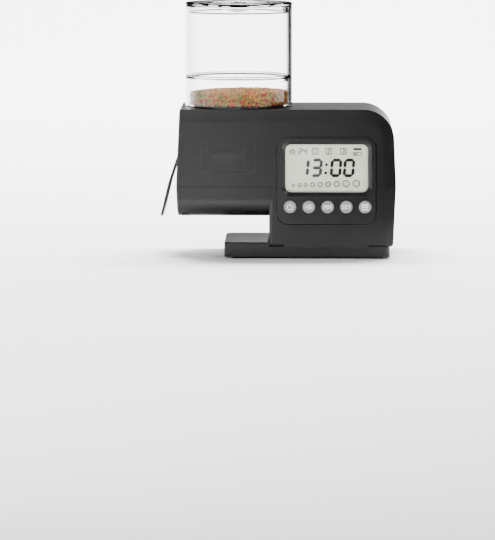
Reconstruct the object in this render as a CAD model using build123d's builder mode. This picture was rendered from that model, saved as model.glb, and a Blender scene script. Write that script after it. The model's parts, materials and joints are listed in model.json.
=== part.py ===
"""Automatic fish feeder: a clear food container on a black two-shell housing that
overhangs to the left, where a screw conveyor drops food past a hanging flap. The
housing stands on a separate base plate. Front is -Y, +X is the control side, +Z is up.
The origin is the centre of the anti-slip mat under the base plate. Millimetres."""

import math
import os

from build123d import *

os.makedirs("parts", exist_ok=True)

# ---------------------------------------------------------------- driving dimensions
# Housing
LEFT_X = -73.0  # left end at the seam
RIGHT_X = 49.6  # right end at the seam
FRONT_Y = -28.0
BACK_Y = 34.0
FOOT_Z = 6.8  # underside of the control leg
BELLY_Z = 23.5  # underside of the overhang
SEAM_Z = 40.7  # parting line of the two shells, and the conveyor's axis
TOP_Z = 83.4
LEG_X = -21.2  # left side of the control leg
DRAFT = 2.5  # degrees, both ways from the seam
WALL = 2.2
SIDE_WALL = 2.6  # front and back walls, thicker for the bevels
CORNER_R = 17.0  # large upper right corner
BEVEL_WIDE = 5.0  # soft bevel round the front and back
BEVEL_DEEP = 1.1
BELLY_R = 10.0
SEAM_STEP = 0.35

# Base plate
BASE_W = 92.6
BASE_D = 54.0
BASE_TOP_Z = 9.2
MAT_W, MAT_D, MAT_T = 84.0, 46.0, 1.4
MAT_PROUD = 1.0

# Food container
HOPPER_X = -38.6
MID_Y = 3.0  # middle of the housing's depth, shared by container and conveyor
POT_R = 30.15
POT_WALL = 2.1
RING_TOP_Z = 100.0
POT_TOP_Z = 140.0
LID_TOP_Z = 142.0
DISH_R = 16.6  # finger dish in the middle of the lid
SPIGOT_R = 27.4
JOINT_EDGE = 0.4  # bevel on each rim, so that the joints read as fine grooves
FOOD_TOP_Z = 91.2

# Conveyor
TUBE_R = 13.2
TUBE_WALL = 2.0
SCREW_R = 12.6
SCREW_PITCH = 12.0
SHAFT_R = 3.0
TUBE_LEFT_X = -70.5
TUBE_RIGHT_X = -17.8
FRAME_X = -14.5  # left face of the gear frame
FRAME_T = 2.0
PLATE_X = 4.0  # left face of the gear plate

# Gears
MODULE = 0.5
WHEEL_TEETH = 36
PINION_TEETH = 12
GEAR_W = 3.0
CENTRES = MODULE * (WHEEL_TEETH + PINION_TEETH) / 2
LAYER_X = (-11.6, -7.6, -3.6)  # left face of each gear layer
STAGE_ANGLES = (60.0, 120.0, 135.0)  # direction from each axle to the next

# Outlet flap
FLAP_PIN_X, FLAP_PIN_Z = -71.3, 58.0
FLAP_TIP_Z = 21.4
FLAP_T = 1.4
FLAP_HALF = 17.0
FLAP_OPEN = 16.0  # degrees open as modelled
PIN_R = 0.7

# Control panel
PANEL_X = 10.9
PANEL_W = 55.5
PANEL_LOW_Z, PANEL_HIGH_Z = 19.3, 68.0
PANEL_Y = FRONT_Y + 0.3
PANEL_FIT = 0.08
WINDOW_W, WINDOW_H = 46.2, 26.8
WINDOW_Z = 50.6
WINDOW_SLOPE = 2.0
BUTTON_PITCH = 10.46
BUTTON_Z = 29.2
BUTTON_R = 3.45
BUTTON_DISH = 0.1  # shallow recess in each button's face, for its symbol
BUTTON_COUNT = 5
BOARD_Y = -19.6  # front face of the circuit board

# Battery bay
CELL_R = 7.25
CELL_L = 50.5
CELL_Y = 23.5
CELL_Z = (17.4, 32.1)
CELL_LEFT_X = (-15.2, -12.4)
TRAY_X0, TRAY_X1 = -17.5, 40.6
TRAY_Y0, TRAY_Y1 = 15.2, 31.3
DOOR_X0, DOOR_X1 = -14.0, 42.0
DOOR_Z0 = 11.0
DOOR_T = 2.2
DOOR_PIVOT_Y = BACK_Y - DOOR_T / 2
DOOR_PIVOT_Z = DOOR_Z0 + 0.2 + DOOR_T / 2

SCREW_SPOTS = ((-67.8, -22.0), (-67.8, 28.0), (44.0, -22.0), (44.0, 28.0))
STUD_SPOTS = ((-8.0, -6.0), (30.0, -6.0))

slope = math.tan(math.radians(DRAFT))
rise_top = (TOP_Z - SEAM_Z) * slope
rise_foot = (SEAM_Z - FOOT_Z) * slope
rise_belly = (SEAM_Z - BELLY_Z) * slope


def save(part, name):
    """Labels a finished part and writes it as the node of that name."""
    part.label = name
    export_step(part, f"parts/{name}.step")


def at_x(x):
    """The plane across the housing at x, with local axes Y and Z, facing +X."""
    return Plane(origin=(x, 0, 0), x_dir=(0, 1, 0), z_dir=(1, 0, 0))


def at_y(y):
    """The plane along the housing at y, with local axes X and Z, facing the front."""
    return Plane.XZ.offset(-y)


def face_at_y(part, y):
    """The largest flat face of a part that lies at y."""
    flat = [f for f in part.faces().filter_by(Axis.Y) if abs(f.center().Y - y) < 0.01]
    return max(flat, key=lambda f: f.area)


# ---------------------------------------------------------------- housing forms
# The outer form of the upper shell: drafted, one large corner, softly bevelled faces.
with BuildPart() as upper_form:
    with BuildSketch(at_y(BACK_Y)):
        with BuildLine():
            Polyline(
                (LEFT_X, SEAM_Z),
                (LEFT_X + rise_top, TOP_Z),
                (RIGHT_X - rise_top, TOP_Z),
                (RIGHT_X, SEAM_Z),
                close=True,
            )
        make_face()
    extrude(amount=BACK_Y - FRONT_Y)
    top_right = upper_form.edges().filter_by(Axis.Y).group_by(Axis.Z)[-1].sort_by(Axis.X)[-1]
    fillet(top_right, CORNER_R)
    for y in (FRONT_Y, BACK_Y):
        rim = face_at_y(upper_form, y)
        outer = [e for e in rim.edges() if e.center().Z > SEAM_Z + 1 and e.center().X > LEFT_X + 3]
        chamfer(outer, BEVEL_WIDE, BEVEL_DEEP, reference=rim)
        rim = face_at_y(upper_form, y)
        inner = [e for e in rim.edges() if e.center().Z > SEAM_Z + 1 and e.center().X > LEFT_X + 3]
        fillet(inner, 18)
    left_end = upper_form.faces().sort_by(Axis.X)[0]
    fillet([e for e in left_end.edges() if e.center().Z > SEAM_Z + 1], 1.0)

# The outer form of the lower shell: the control leg, and the belly of the overhang.
with BuildPart() as leg_form:
    with BuildSketch(at_y(BACK_Y)):
        with BuildLine():
            Polyline(
                (LEG_X, SEAM_Z),
                (RIGHT_X, SEAM_Z),
                (RIGHT_X - rise_foot, FOOT_Z),
                (LEG_X, FOOT_Z),
                close=True,
            )
        make_face()
    extrude(amount=BACK_Y - FRONT_Y)
    for y in (FRONT_Y, BACK_Y):
        rim = face_at_y(leg_form, y)
        outer = [e for e in rim.edges() if e.center().X > RIGHT_X - 4]
        chamfer(outer, BEVEL_WIDE, BEVEL_DEEP, reference=rim)
        rim = face_at_y(leg_form, y)
        fillet([e for e in rim.edges() if e.center().X > RIGHT_X - 12], 18)
    left_side = leg_form.faces().sort_by(Axis.X)[0]
    fillet(left_side.edges().filter_by(Axis.Z), 2.0)
    fillet(leg_form.faces().sort_by(Axis.Z)[0].edges(), 1.8)

with BuildPart() as belly_form:
    with BuildSketch(at_x(LEG_X + 8)):
        with Locations((MID_Y, (SEAM_Z + BELLY_Z) / 2)):
            Rectangle(BACK_Y - FRONT_Y, SEAM_Z - BELLY_Z)
    extrude(amount=LEFT_X - LEG_X - 8)
    fillet(belly_form.faces().sort_by(Axis.Z)[0].edges().filter_by(Axis.X), BELLY_R)
    with BuildSketch(at_y(BACK_Y)):
        with BuildLine():
            Polyline(
                (LEFT_X, SEAM_Z),
                (LEG_X + 8, SEAM_Z),
                (LEG_X + 8, BELLY_Z),
                (LEFT_X + rise_belly, BELLY_Z),
                close=True,
            )
        make_face()
    extrude(amount=BACK_Y - FRONT_Y, mode=Mode.INTERSECT)
    left_end = belly_form.faces().sort_by(Axis.X)[0]
    fillet([e for e in left_end.edges() if e.center().Z < SEAM_Z - 1], 1.0)


def cavity(low_z, high_z, corner):
    """The hollow of a shell between two heights, one wall inside the drafted outline."""
    low_rise = abs(low_z - SEAM_Z) * slope
    high_rise = abs(high_z - SEAM_Z) * slope
    with BuildPart() as hollow:
        with BuildSketch(at_y(BACK_Y - SIDE_WALL)):
            with BuildLine():
                Polyline(
                    (LEFT_X + WALL + low_rise, low_z),
                    (LEFT_X + WALL + high_rise, high_z),
                    (RIGHT_X - WALL - high_rise, high_z),
                    (RIGHT_X - WALL - low_rise, low_z),
                    close=True,
                )
            make_face()
        extrude(amount=BACK_Y - FRONT_Y - 2 * SIDE_WALL)
        if corner:
            top_right = hollow.edges().filter_by(Axis.Y).group_by(Axis.Z)[-1].sort_by(Axis.X)[-1]
            fillet(top_right, corner)
    return hollow.part


def flap_recess():
    """The pocket in the left end that takes the closed flap and its hinge barrel."""
    with BuildPart() as pocket:
        with BuildSketch(at_y(MID_Y + FLAP_HALF + 0.5)):
            with BuildLine():
                Polyline(
                    (LEFT_X - 2, FLAP_TIP_Z - 1),
                    (LEFT_X + 2.3, FLAP_TIP_Z - 1),
                    (LEFT_X + 2.3, FLAP_PIN_Z + 2.4),
                    (LEFT_X - 2, FLAP_PIN_Z + 2.4),
                    close=True,
                )
            make_face()
            with Locations((FLAP_PIN_X, FLAP_PIN_Z)):
                Circle(2.2)
        extrude(amount=2 * FLAP_HALF + 1.0)
    return pocket.part


def flap_pin_bar(radius):
    """A rod along the flap's hinge line."""
    with BuildPart() as rod:
        with BuildSketch(at_y(MID_Y + FLAP_HALF + 1.8)):
            with Locations((FLAP_PIN_X, FLAP_PIN_Z)):
                Circle(radius)
        extrude(amount=2 * FLAP_HALF + 3.6)
    return rod.part


def end_pad(low_z, high_z):
    """The thick wall behind the flap that the conveyor's tube seats in."""
    with BuildPart() as pad:
        with Locations((LEFT_X + 4.6, MID_Y, (low_z + high_z) / 2)):
            Box(4.4, 2 * FLAP_HALF + 5, high_z - low_z)
    return pad.part


def panel_window():
    """The opening in both shells that the control panel fills."""
    with BuildPart() as window:
        with BuildSketch(at_y(FRONT_Y - 3)):
            with Locations((PANEL_X, (PANEL_LOW_Z + PANEL_HIGH_Z) / 2)):
                RectangleRounded(
                    PANEL_W + 2 * PANEL_FIT, PANEL_HIGH_Z - PANEL_LOW_Z + 2 * PANEL_FIT, 6.5 + PANEL_FIT
                )
        extrude(amount=-7)
    return window.part


def tube_space(radius):
    """A bar along the conveyor's axis, from outside the left end to the gear frame."""
    with BuildPart() as bar:
        with BuildSketch(at_x(LEFT_X - 3)):
            with Locations((MID_Y, SEAM_Z)):
                Circle(radius)
        extrude(amount=FRAME_X - LEFT_X + 3)
    return bar.part


def seam_groove():
    """The thin shadow gap round the parting line, half of it in each shell."""
    with BuildPart() as groove:
        with Locations((0, MID_Y, SEAM_Z)):
            Box(3 * RIGHT_X + 20, 2 * BACK_Y, 2 * SEAM_STEP)
        with BuildSketch(Plane.XY.offset(SEAM_Z - SEAM_STEP)):
            with BuildLine():
                Polyline(
                    (LEFT_X + 0.35, FRONT_Y + 0.35),
                    (RIGHT_X - BEVEL_WIDE, FRONT_Y + 0.35),
                    (RIGHT_X - 0.35, FRONT_Y + BEVEL_DEEP + 0.3),
                    (RIGHT_X - 0.35, BACK_Y - BEVEL_DEEP - 0.3),
                    (RIGHT_X - BEVEL_WIDE, BACK_Y - 0.35),
                    (LEFT_X + 0.35, BACK_Y - 0.35),
                    close=True,
                )
            make_face()
        extrude(amount=2 * SEAM_STEP, mode=Mode.SUBTRACT)
    return groove.part


# ---------------------------------------------------------------- upper casing
with BuildPart() as upper_casing:
    add(upper_form.part)
    add(cavity(SEAM_Z, TOP_Z - WALL, CORNER_R - WALL), mode=Mode.SUBTRACT)
    add(end_pad(SEAM_Z, FLAP_PIN_Z + 5))
    with BuildSketch(Plane.XY.offset(SEAM_Z + 14)):
        with Locations(*SCREW_SPOTS):
            Circle(3.2)
    extrude(amount=-14)
    with BuildSketch(Plane.XY.offset(SEAM_Z)):
        with Locations(*SCREW_SPOTS):
            Circle(1.15)
    extrude(amount=11, mode=Mode.SUBTRACT)
    with BuildSketch(Plane.XY.offset(TOP_Z + 1)):
        with Locations((HOPPER_X, MID_Y)):
            Circle(SPIGOT_R + 0.2)
    extrude(amount=-WALL - 2, mode=Mode.SUBTRACT)
    add(flap_recess(), mode=Mode.SUBTRACT)
    add(flap_pin_bar(PIN_R), mode=Mode.SUBTRACT)
    add(tube_space(TUBE_R + TUBE_WALL + 0.05), mode=Mode.SUBTRACT)
    add(panel_window(), mode=Mode.SUBTRACT)
    # A shallow badge frame on the front, left of the panel.
    with BuildSketch(at_y(FRONT_Y + 0.25)):
        with Locations((-44.0, 57.0)):
            RectangleRounded(31.0, 18.6, 2.4)
            RectangleRounded(29.6, 17.2, 1.8, mode=Mode.SUBTRACT)
    extrude(amount=2, mode=Mode.SUBTRACT)
    add(seam_groove(), mode=Mode.SUBTRACT)

# ---------------------------------------------------------------- lower casing
with BuildPart() as belly_bosses:
    with BuildSketch(Plane.XY.offset(SEAM_Z)):
        with Locations(*SCREW_SPOTS[:2]):
            Circle(3.9)
    extrude(amount=BELLY_Z - SEAM_Z)
    add(belly_form.part, mode=Mode.INTERSECT)

with BuildPart() as leg_hollow:
    add(cavity(FOOT_Z + WALL, SEAM_Z, 0))
    split(bisect_by=Plane.YZ.offset(LEG_X + WALL), keep=Keep.TOP)

with BuildPart() as belly_hollow:
    add(cavity(BELLY_Z + WALL - 0.2, SEAM_Z, 0))
    split(bisect_by=Plane.YZ.offset(LEG_X + WALL + 1), keep=Keep.BOTTOM)
    fillet(belly_hollow.faces().sort_by(Axis.Z)[0].edges().filter_by(Axis.X), BELLY_R - WALL)

with BuildPart() as lower_casing:
    add(belly_form.part)
    add(leg_form.part)
    add(leg_hollow.part, mode=Mode.SUBTRACT)
    add(belly_hollow.part, mode=Mode.SUBTRACT)
    add(end_pad(BELLY_Z + 1, SEAM_Z))
    add(belly_bosses.part)
    with BuildSketch(Plane.XY.offset(SEAM_Z)):
        with Locations(*SCREW_SPOTS[2:]):
            Circle(3.2)
    extrude(amount=FOOT_Z + 1 - SEAM_Z)
    with BuildSketch(Plane.XY.offset(SEAM_Z)):
        with Locations(*SCREW_SPOTS):
            Circle(1.45)
    extrude(amount=FOOT_Z - SEAM_Z - 1, mode=Mode.SUBTRACT)
    with BuildSketch(Plane.XY.offset(SEAM_Z - 6)):
        with Locations(*SCREW_SPOTS):
            Circle(2.6)
    extrude(amount=FOOT_Z - SEAM_Z, mode=Mode.SUBTRACT)
    # Front lip that laps the base plate, and sockets for the plate's studs.
    with Locations((PANEL_X, FRONT_Y + 0.9, FOOT_Z + 0.4)):
        Box(47.2, 1.8, 2.8)
    with BuildSketch(Plane.XY.offset(FOOT_Z + WALL)):
        with Locations(*STUD_SPOTS):
            Circle(3.2)
    extrude(amount=-WALL - 1, mode=Mode.SUBTRACT)
    add(flap_recess(), mode=Mode.SUBTRACT)
    add(tube_space(TUBE_R + TUBE_WALL + 0.05), mode=Mode.SUBTRACT)
    add(panel_window(), mode=Mode.SUBTRACT)
    # Battery door opening, up to the seam, and blind holes for the door's pivots.
    with Locations(((DOOR_X0 + DOOR_X1) / 2, BACK_Y, (DOOR_Z0 + SEAM_Z) / 2 + 1)):
        Box(DOOR_X1 - DOOR_X0, 2 * WALL + 2, SEAM_Z - DOOR_Z0 + 2, mode=Mode.SUBTRACT)
    with BuildSketch(at_x(DOOR_X0 - 1)):
        with Locations((DOOR_PIVOT_Y, DOOR_PIVOT_Z)):
            Circle(0.68)
    extrude(amount=DOOR_X1 - DOOR_X0 + 2, mode=Mode.SUBTRACT)
    add(seam_groove(), mode=Mode.SUBTRACT)
save(upper_casing.part, "upper_casing")
save(lower_casing.part, "lower_casing")

# ---------------------------------------------------------------- base plate and mat
with BuildPart() as mounting_base:
    with BuildSketch(Plane.XY.offset(MAT_PROUD)):
        RectangleRounded(BASE_W, BASE_D, 3.4)
    extrude(amount=BASE_TOP_Z - MAT_PROUD)
    fillet(mounting_base.faces().sort_by(Axis.Z)[-1].edges(), 1.0)
    # The lower step that the control leg stands on, notched for the casing's lip.
    with BuildSketch(Plane.XY.offset(FOOT_Z)):
        with Locations(((LEG_X - 0.4 + 60) / 2, 0)):
            Rectangle(60 - LEG_X + 0.4, BASE_D + 8)
    extrude(amount=5, mode=Mode.SUBTRACT)
    with Locations((PANEL_X, FRONT_Y + 0.9, FOOT_Z)):
        Box(48.0, 2.4, 2.4, mode=Mode.SUBTRACT)
    with BuildSketch(Plane.XY.offset(MAT_PROUD)):
        RectangleRounded(MAT_W + 0.4, MAT_D + 0.4, 3.2)
    extrude(amount=MAT_T - MAT_PROUD, mode=Mode.SUBTRACT)
    with BuildSketch(Plane.XY.offset(FOOT_Z)):
        with Locations(*STUD_SPOTS):
            Circle(3.0)
    extrude(amount=WALL - 0.2)
    fillet(mounting_base.faces().sort_by(Axis.Z)[-1].edges(), 0.5)
    with BuildSketch(Plane.XZ.offset(BASE_D / 2)):
        with Locations((PANEL_X, 3.4)):
            Circle(0.8)
    extrude(amount=0.4)
save(mounting_base.part, "mounting_base")

with BuildPart() as base_mat:
    with BuildSketch():
        RectangleRounded(MAT_W, MAT_D, 3.0)
    extrude(amount=MAT_T)
    with BuildSketch():
        with GridLocations(0, 5.4, 1, 7):
            RectangleRounded(MAT_W - 9, 1.2, 0.55)
    extrude(amount=0.4, mode=Mode.SUBTRACT)
save(base_mat.part, "base_mat")

# ---------------------------------------------------------------- control panel
panel_mid_z = (PANEL_LOW_Z + PANEL_HIGH_Z) / 2
button_xs = [PANEL_X + 0.55 + BUTTON_PITCH * (i - 2) for i in range(BUTTON_COUNT)]
post_spots = [(PANEL_X + dx, z) for dx in (-27.2, 27.2) for z in (20.6, 67.4)]
board_mid_z = 42.2

with BuildPart() as control_panel:
    with BuildSketch(at_y(PANEL_Y + 2.8)):
        with Locations((PANEL_X, panel_mid_z)):
            RectangleRounded(PANEL_W, PANEL_HIGH_Z - PANEL_LOW_Z, 6.5)
    extrude(amount=2.8)
    fillet(face_at_y(control_panel, PANEL_Y).edges(), 0.5)
    # The flange behind it bears on the casing's inner wall.
    with BuildSketch(at_y(FRONT_Y + SIDE_WALL + 1.2)):
        with Locations((PANEL_X, panel_mid_z)):
            Rectangle(PANEL_W + 3.6, PANEL_HIGH_Z - PANEL_LOW_Z + 4.2)
    extrude(amount=1.2)
    # The window's sloping surround, then the window itself.
    with BuildSketch(at_y(PANEL_Y)):
        with Locations((PANEL_X, WINDOW_Z)):
            RectangleRounded(WINDOW_W + 2 * WINDOW_SLOPE, WINDOW_H + 2 * WINDOW_SLOPE, 4.6)
    with BuildSketch(at_y(PANEL_Y + 1.6)):
        with Locations((PANEL_X, WINDOW_Z)):
            RectangleRounded(WINDOW_W, WINDOW_H, 3.4)
    loft(mode=Mode.SUBTRACT)
    with BuildSketch(at_y(BACK_Y)):
        with Locations((PANEL_X, WINDOW_Z)):
            RectangleRounded(WINDOW_W, WINDOW_H, 3.4)
    extrude(amount=BACK_Y - FRONT_Y, mode=Mode.SUBTRACT)
    # A ledge for the lens.
    with Locations((PANEL_X, FRONT_Y + 3.4, WINDOW_Z)):
        Box(WINDOW_W + 4.0, 3.0, WINDOW_H + 3.4, mode=Mode.SUBTRACT)
    with BuildSketch(at_y(BACK_Y)):
        with Locations(*[(x, BUTTON_Z) for x in button_xs]):
            Circle(BUTTON_R + 0.3)
    extrude(amount=BACK_Y - FRONT_Y + 1, mode=Mode.SUBTRACT)
    with BuildSketch(at_y(FRONT_Y + 5)):
        with Locations(*[(x, BUTTON_Z) for x in button_xs]):
            Circle(4.4)
    extrude(amount=2.5, mode=Mode.SUBTRACT)
    # Posts that hold the circuit board.
    with BuildSketch(at_y(BOARD_Y)):
        with Locations(*post_spots):
            Circle(1.9)
    extrude(amount=BOARD_Y - FRONT_Y - SIDE_WALL - 0.8)
    with BuildSketch(at_y(BOARD_Y)):
        with Locations(*post_spots):
            Circle(1.0)
    extrude(amount=4.4, mode=Mode.SUBTRACT)
save(control_panel.part, "control_panel")

with BuildPart() as display_lens:
    with BuildSketch(at_y(FRONT_Y + 3.1)):
        with Locations((PANEL_X, WINDOW_Z)):
            Rectangle(WINDOW_W + 3.6, WINDOW_H + 3.0)
    extrude(amount=1.2)
save(display_lens.part, "display_lens")

with BuildPart() as lcd_module:
    with Locations((PANEL_X, FRONT_Y + 4.65, WINDOW_Z)):
        Box(WINDOW_W + 3.4, 2.9, WINDOW_H + 3.0)
    with Locations((PANEL_X, FRONT_Y + 7.2, WINDOW_Z - 11)):
        Box(WINDOW_W - 4, 2.2, 3.0)
save(lcd_module.part, "lcd_module")

with BuildPart() as control_board:
    with BuildSketch(at_y(BOARD_Y + 1.6)):
        with Locations((PANEL_X, board_mid_z)):
            RectangleRounded(58.4, 56.4, 1.2)
        with Locations(*post_spots):
            Circle(1.3, mode=Mode.SUBTRACT)
    extrude(amount=1.6)
save(control_board.part, "control_board")

with BuildPart() as board_screws:
    for x, z in post_spots:
        with BuildSketch(at_y(BOARD_Y + 3.0)):
            with Locations((x, z)):
                Circle(2.0)
        extrude(amount=1.4)
        with BuildSketch(at_y(BOARD_Y + 1.6)):
            with Locations((x, z)):
                Circle(0.95)
        extrude(amount=5.2)
save(board_screws.part, "board_screws")

with BuildPart() as tact_switches:
    for x in button_xs:
        with Locations((x, BOARD_Y - 1.7, BUTTON_Z)):
            Box(6.0, 3.4, 6.0)
        with BuildSketch(at_y(BOARD_Y - 3.4)):
            with Locations((x, BUTTON_Z)):
                Circle(1.6)
        extrude(amount=0.3)
save(tact_switches.part, "tact_switches")

button_names = ("power", "hour", "minute", "set", "menu")
for name, x in zip(button_names, button_xs):
    with BuildPart() as button:
        with BuildSketch(at_y(FRONT_Y + 3.9)):
            with Locations((x, BUTTON_Z)):
                Circle(BUTTON_R)
        extrude(amount=4.2)
        fillet(button.faces().sort_by(Axis.Y)[0].edges(), 0.35)
        with BuildSketch(at_y(FRONT_Y - 0.3)):
            with Locations((x, BUTTON_Z)):
                Circle(BUTTON_R - 0.65)
        extrude(amount=-BUTTON_DISH, mode=Mode.SUBTRACT)
        with BuildSketch(at_y(FRONT_Y + 3.5)):
            with Locations((x, BUTTON_Z)):
                Circle(4.05)
        extrude(amount=0.8)
    save(button.part, f"button_{name}")

# ---------------------------------------------------------------- food container
pot_axis = Axis((HOPPER_X, MID_Y, 0), (0, 0, 1))
pot_plane = Plane(origin=(HOPPER_X, MID_Y, 0), x_dir=(1, 0, 0), z_dir=(0, -1, 0))
bore_r = POT_R - POT_WALL


def turned(profile):
    """A part turned about the container's axis from (radius, height) corners."""
    with BuildPart() as spun:
        with BuildSketch(pot_plane):
            with BuildLine():
                Polyline(*profile, close=True)
            make_face()
        revolve(axis=pot_axis)
    return spun.part


with BuildPart() as food_container:
    add(
        turned(
            [
                (SPIGOT_R - 1.8, 78),
                (SPIGOT_R, 78),
                (SPIGOT_R, TOP_Z),
                (POT_R, TOP_Z),
                (POT_R, RING_TOP_Z - JOINT_EDGE),
                (POT_R - JOINT_EDGE, RING_TOP_Z),
                (bore_r, RING_TOP_Z),
                (bore_r, TOP_Z + 1.0),
                (SPIGOT_R - 1.8, TOP_Z + 0.6),
            ]
        )
    )
save(food_container.part, "food_container")

with BuildPart() as container_extension:
    add(
        turned(
            [
                (bore_r - 0.3, RING_TOP_Z + 0.02),
                (POT_R - JOINT_EDGE, RING_TOP_Z + 0.02),
                (POT_R, RING_TOP_Z + JOINT_EDGE),
                (POT_R, POT_TOP_Z - JOINT_EDGE),
                (POT_R - JOINT_EDGE, POT_TOP_Z),
                (bore_r, POT_TOP_Z),
                (bore_r, RING_TOP_Z + 1.4),
                (bore_r - 1.6, RING_TOP_Z + 0.8),
                (bore_r - 1.6, RING_TOP_Z - 2.2),
                (bore_r - 0.3, RING_TOP_Z - 2.2),
            ]
        )
    )
save(container_extension.part, "container_extension")

with BuildPart() as container_lid:
    add(
        turned(
            [
                (0, POT_TOP_Z - 3.6),
                (4.2, POT_TOP_Z - 3.6),
                (DISH_R + 0.8, POT_TOP_Z + 0.02),
                (bore_r - 1.7, POT_TOP_Z + 0.02),
                (bore_r - 1.7, POT_TOP_Z - 3.7),
                (bore_r - 0.3, POT_TOP_Z - 3.7),
                (bore_r - 0.3, POT_TOP_Z + 0.02),
                (POT_R - JOINT_EDGE, POT_TOP_Z + 0.02),
                (POT_R, POT_TOP_Z + JOINT_EDGE),
                (POT_R, LID_TOP_Z - 0.9),
                (POT_R - 0.3, LID_TOP_Z - 0.3),
                (POT_R - 1.0, LID_TOP_Z),
                (DISH_R, LID_TOP_Z),
                (4.2, POT_TOP_Z - 2.0),
                (0, POT_TOP_Z - 2.0),
            ]
        )
    )
    # The grip: a bar across the dish with a knob in the middle.
    with BuildSketch(Plane.XY.offset(POT_TOP_Z - 2.2)):
        with Locations((HOPPER_X, MID_Y)):
            Circle(4.2)
            RectangleRounded(21.0, 2.2, 1.0)
    extrude(amount=3.9)
save(container_lid.part, "container_lid")

with BuildPart() as food_bed:
    add(
        turned(
            [
                (0, 79),
                (SPIGOT_R - 2.2, 79),
                (SPIGOT_R - 2.2, TOP_Z + 0.9),
                (bore_r - 0.3, TOP_Z + 1.4),
                (bore_r - 0.3, FOOD_TOP_Z),
                (14.0, FOOD_TOP_Z + 1.4),
                (0, FOOD_TOP_Z + 1.9),
            ]
        )
    )
save(food_bed.part, "food_bed")

# ---------------------------------------------------------------- funnel and conveyor
with BuildPart() as hopper_funnel:
    with BuildSketch(Plane.XY.offset(77.0)):
        with Locations((HOPPER_X, MID_Y)):
            Circle(SPIGOT_R + 0.2)
    with BuildSketch(Plane.XY.offset(56.0)):
        with Locations((HOPPER_X, MID_Y)):
            RectangleRounded(33.0, 24.8, 4.0)
    loft()
    with BuildSketch(Plane.XY.offset(77.9)):
        with Locations((HOPPER_X, MID_Y)):
            Circle(SPIGOT_R + 0.9)
    extrude(amount=-1.4)
    with BuildSketch(Plane.XY.offset(TOP_Z - WALL - 0.1)):
        with Locations((HOPPER_X, MID_Y)):
            Circle(SPIGOT_R + 0.9)
            Circle(SPIGOT_R + 0.1, mode=Mode.SUBTRACT)
    extrude(amount=-4)
    with BuildSketch(Plane.XY.offset(56.0)):
        with Locations((HOPPER_X, MID_Y)):
            RectangleRounded(33.0, 24.8, 4.0)
    extrude(amount=-9)
    with BuildSketch(Plane.XY.offset(78.0)):
        with Locations((HOPPER_X, MID_Y)):
            Circle(SPIGOT_R - 1.9)
    with BuildSketch(Plane.XY.offset(56.0)):
        with Locations((HOPPER_X, MID_Y)):
            RectangleRounded(30.2, 22.0, 2.6)
    loft(mode=Mode.SUBTRACT)
    with BuildSketch(Plane.XY.offset(56.01)):
        with Locations((HOPPER_X, MID_Y)):
            RectangleRounded(30.2, 22.0, 2.6)
    extrude(amount=-10, mode=Mode.SUBTRACT)
    add(tube_space(TUBE_R + TUBE_WALL + 0.1), mode=Mode.SUBTRACT)
save(hopper_funnel.part, "hopper_funnel")

with BuildPart() as auger_tube:
    with BuildSketch(at_x(TUBE_LEFT_X)):
        with Locations((MID_Y, SEAM_Z)):
            Circle(TUBE_R + TUBE_WALL)
            Circle(TUBE_R, mode=Mode.SUBTRACT)
    extrude(amount=TUBE_RIGHT_X - TUBE_LEFT_X)
    with BuildSketch(Plane.XY.offset(SEAM_Z + 20)):
        with Locations((HOPPER_X, MID_Y)):
            RectangleRounded(30.2, 22.0, 2.6)
    extrude(amount=-18, mode=Mode.SUBTRACT)
save(auger_tube.part, "auger_tube")

screw_right_x = TUBE_RIGHT_X - 2.6
screw_left_x = TUBE_LEFT_X + 1.6
with BuildPart() as feed_auger:
    with BuildLine():
        Helix(
            pitch=SCREW_PITCH,
            height=screw_right_x - screw_left_x,
            radius=SHAFT_R,
            center=(screw_left_x, MID_Y, SEAM_Z),
            direction=(1, 0, 0),
        )
    path = feed_auger.pending_edges[0]
    radial = Vector(0, path.position_at(0).Y - MID_Y, path.position_at(0).Z - SEAM_Z)
    with BuildSketch(Plane(origin=path.position_at(0), x_dir=radial, z_dir=path.tangent_at(0))):
        with Locations(((SCREW_R - SHAFT_R) / 2 - 0.2, 0)):
            Rectangle(SCREW_R - SHAFT_R + 0.4, 1.4)
    sweep(is_frenet=True)
    with BuildSketch(at_x(screw_left_x)):
        with Locations((MID_Y, SEAM_Z)):
            Circle(SHAFT_R)
    extrude(amount=FRAME_X + FRAME_T - screw_left_x)
    with BuildSketch(at_x(screw_left_x)):
        with Locations((MID_Y, SEAM_Z)):
            Circle(2.0)
    extrude(amount=PLATE_X + 2.0 - screw_left_x)
save(feed_auger.part, "feed_auger")

# ---------------------------------------------------------------- outlet flap
with BuildPart() as closed_flap:
    with BuildSketch(at_y(MID_Y + FLAP_HALF)):
        with BuildLine():
            Polyline(
                (LEFT_X + (FLAP_PIN_Z - SEAM_Z) * slope, FLAP_PIN_Z),
                (LEFT_X, SEAM_Z),
                (LEFT_X + (SEAM_Z - FLAP_TIP_Z) * slope, FLAP_TIP_Z),
                (LEFT_X + (SEAM_Z - FLAP_TIP_Z) * slope + FLAP_T, FLAP_TIP_Z),
                (LEFT_X + FLAP_T, SEAM_Z),
                (LEFT_X + (FLAP_PIN_Z - SEAM_Z) * slope + FLAP_T, FLAP_PIN_Z),
                close=True,
            )
        make_face()
        with Locations((FLAP_PIN_X, FLAP_PIN_Z)):
            Circle(1.3)
    extrude(amount=2 * FLAP_HALF)
    add(flap_pin_bar(PIN_R + 0.08), mode=Mode.SUBTRACT)

hinge_line = Axis((FLAP_PIN_X, MID_Y, FLAP_PIN_Z), (0, 1, 0))
outlet_flap = closed_flap.part.rotate(hinge_line, FLAP_OPEN)
save(outlet_flap, "outlet_flap")
save(flap_pin_bar(PIN_R), "flap_pin")

# ---------------------------------------------------------------- gear train
AXLE_R = 1.0
BACKLASH = 0.12
PRESSURE = math.radians(20)

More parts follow.
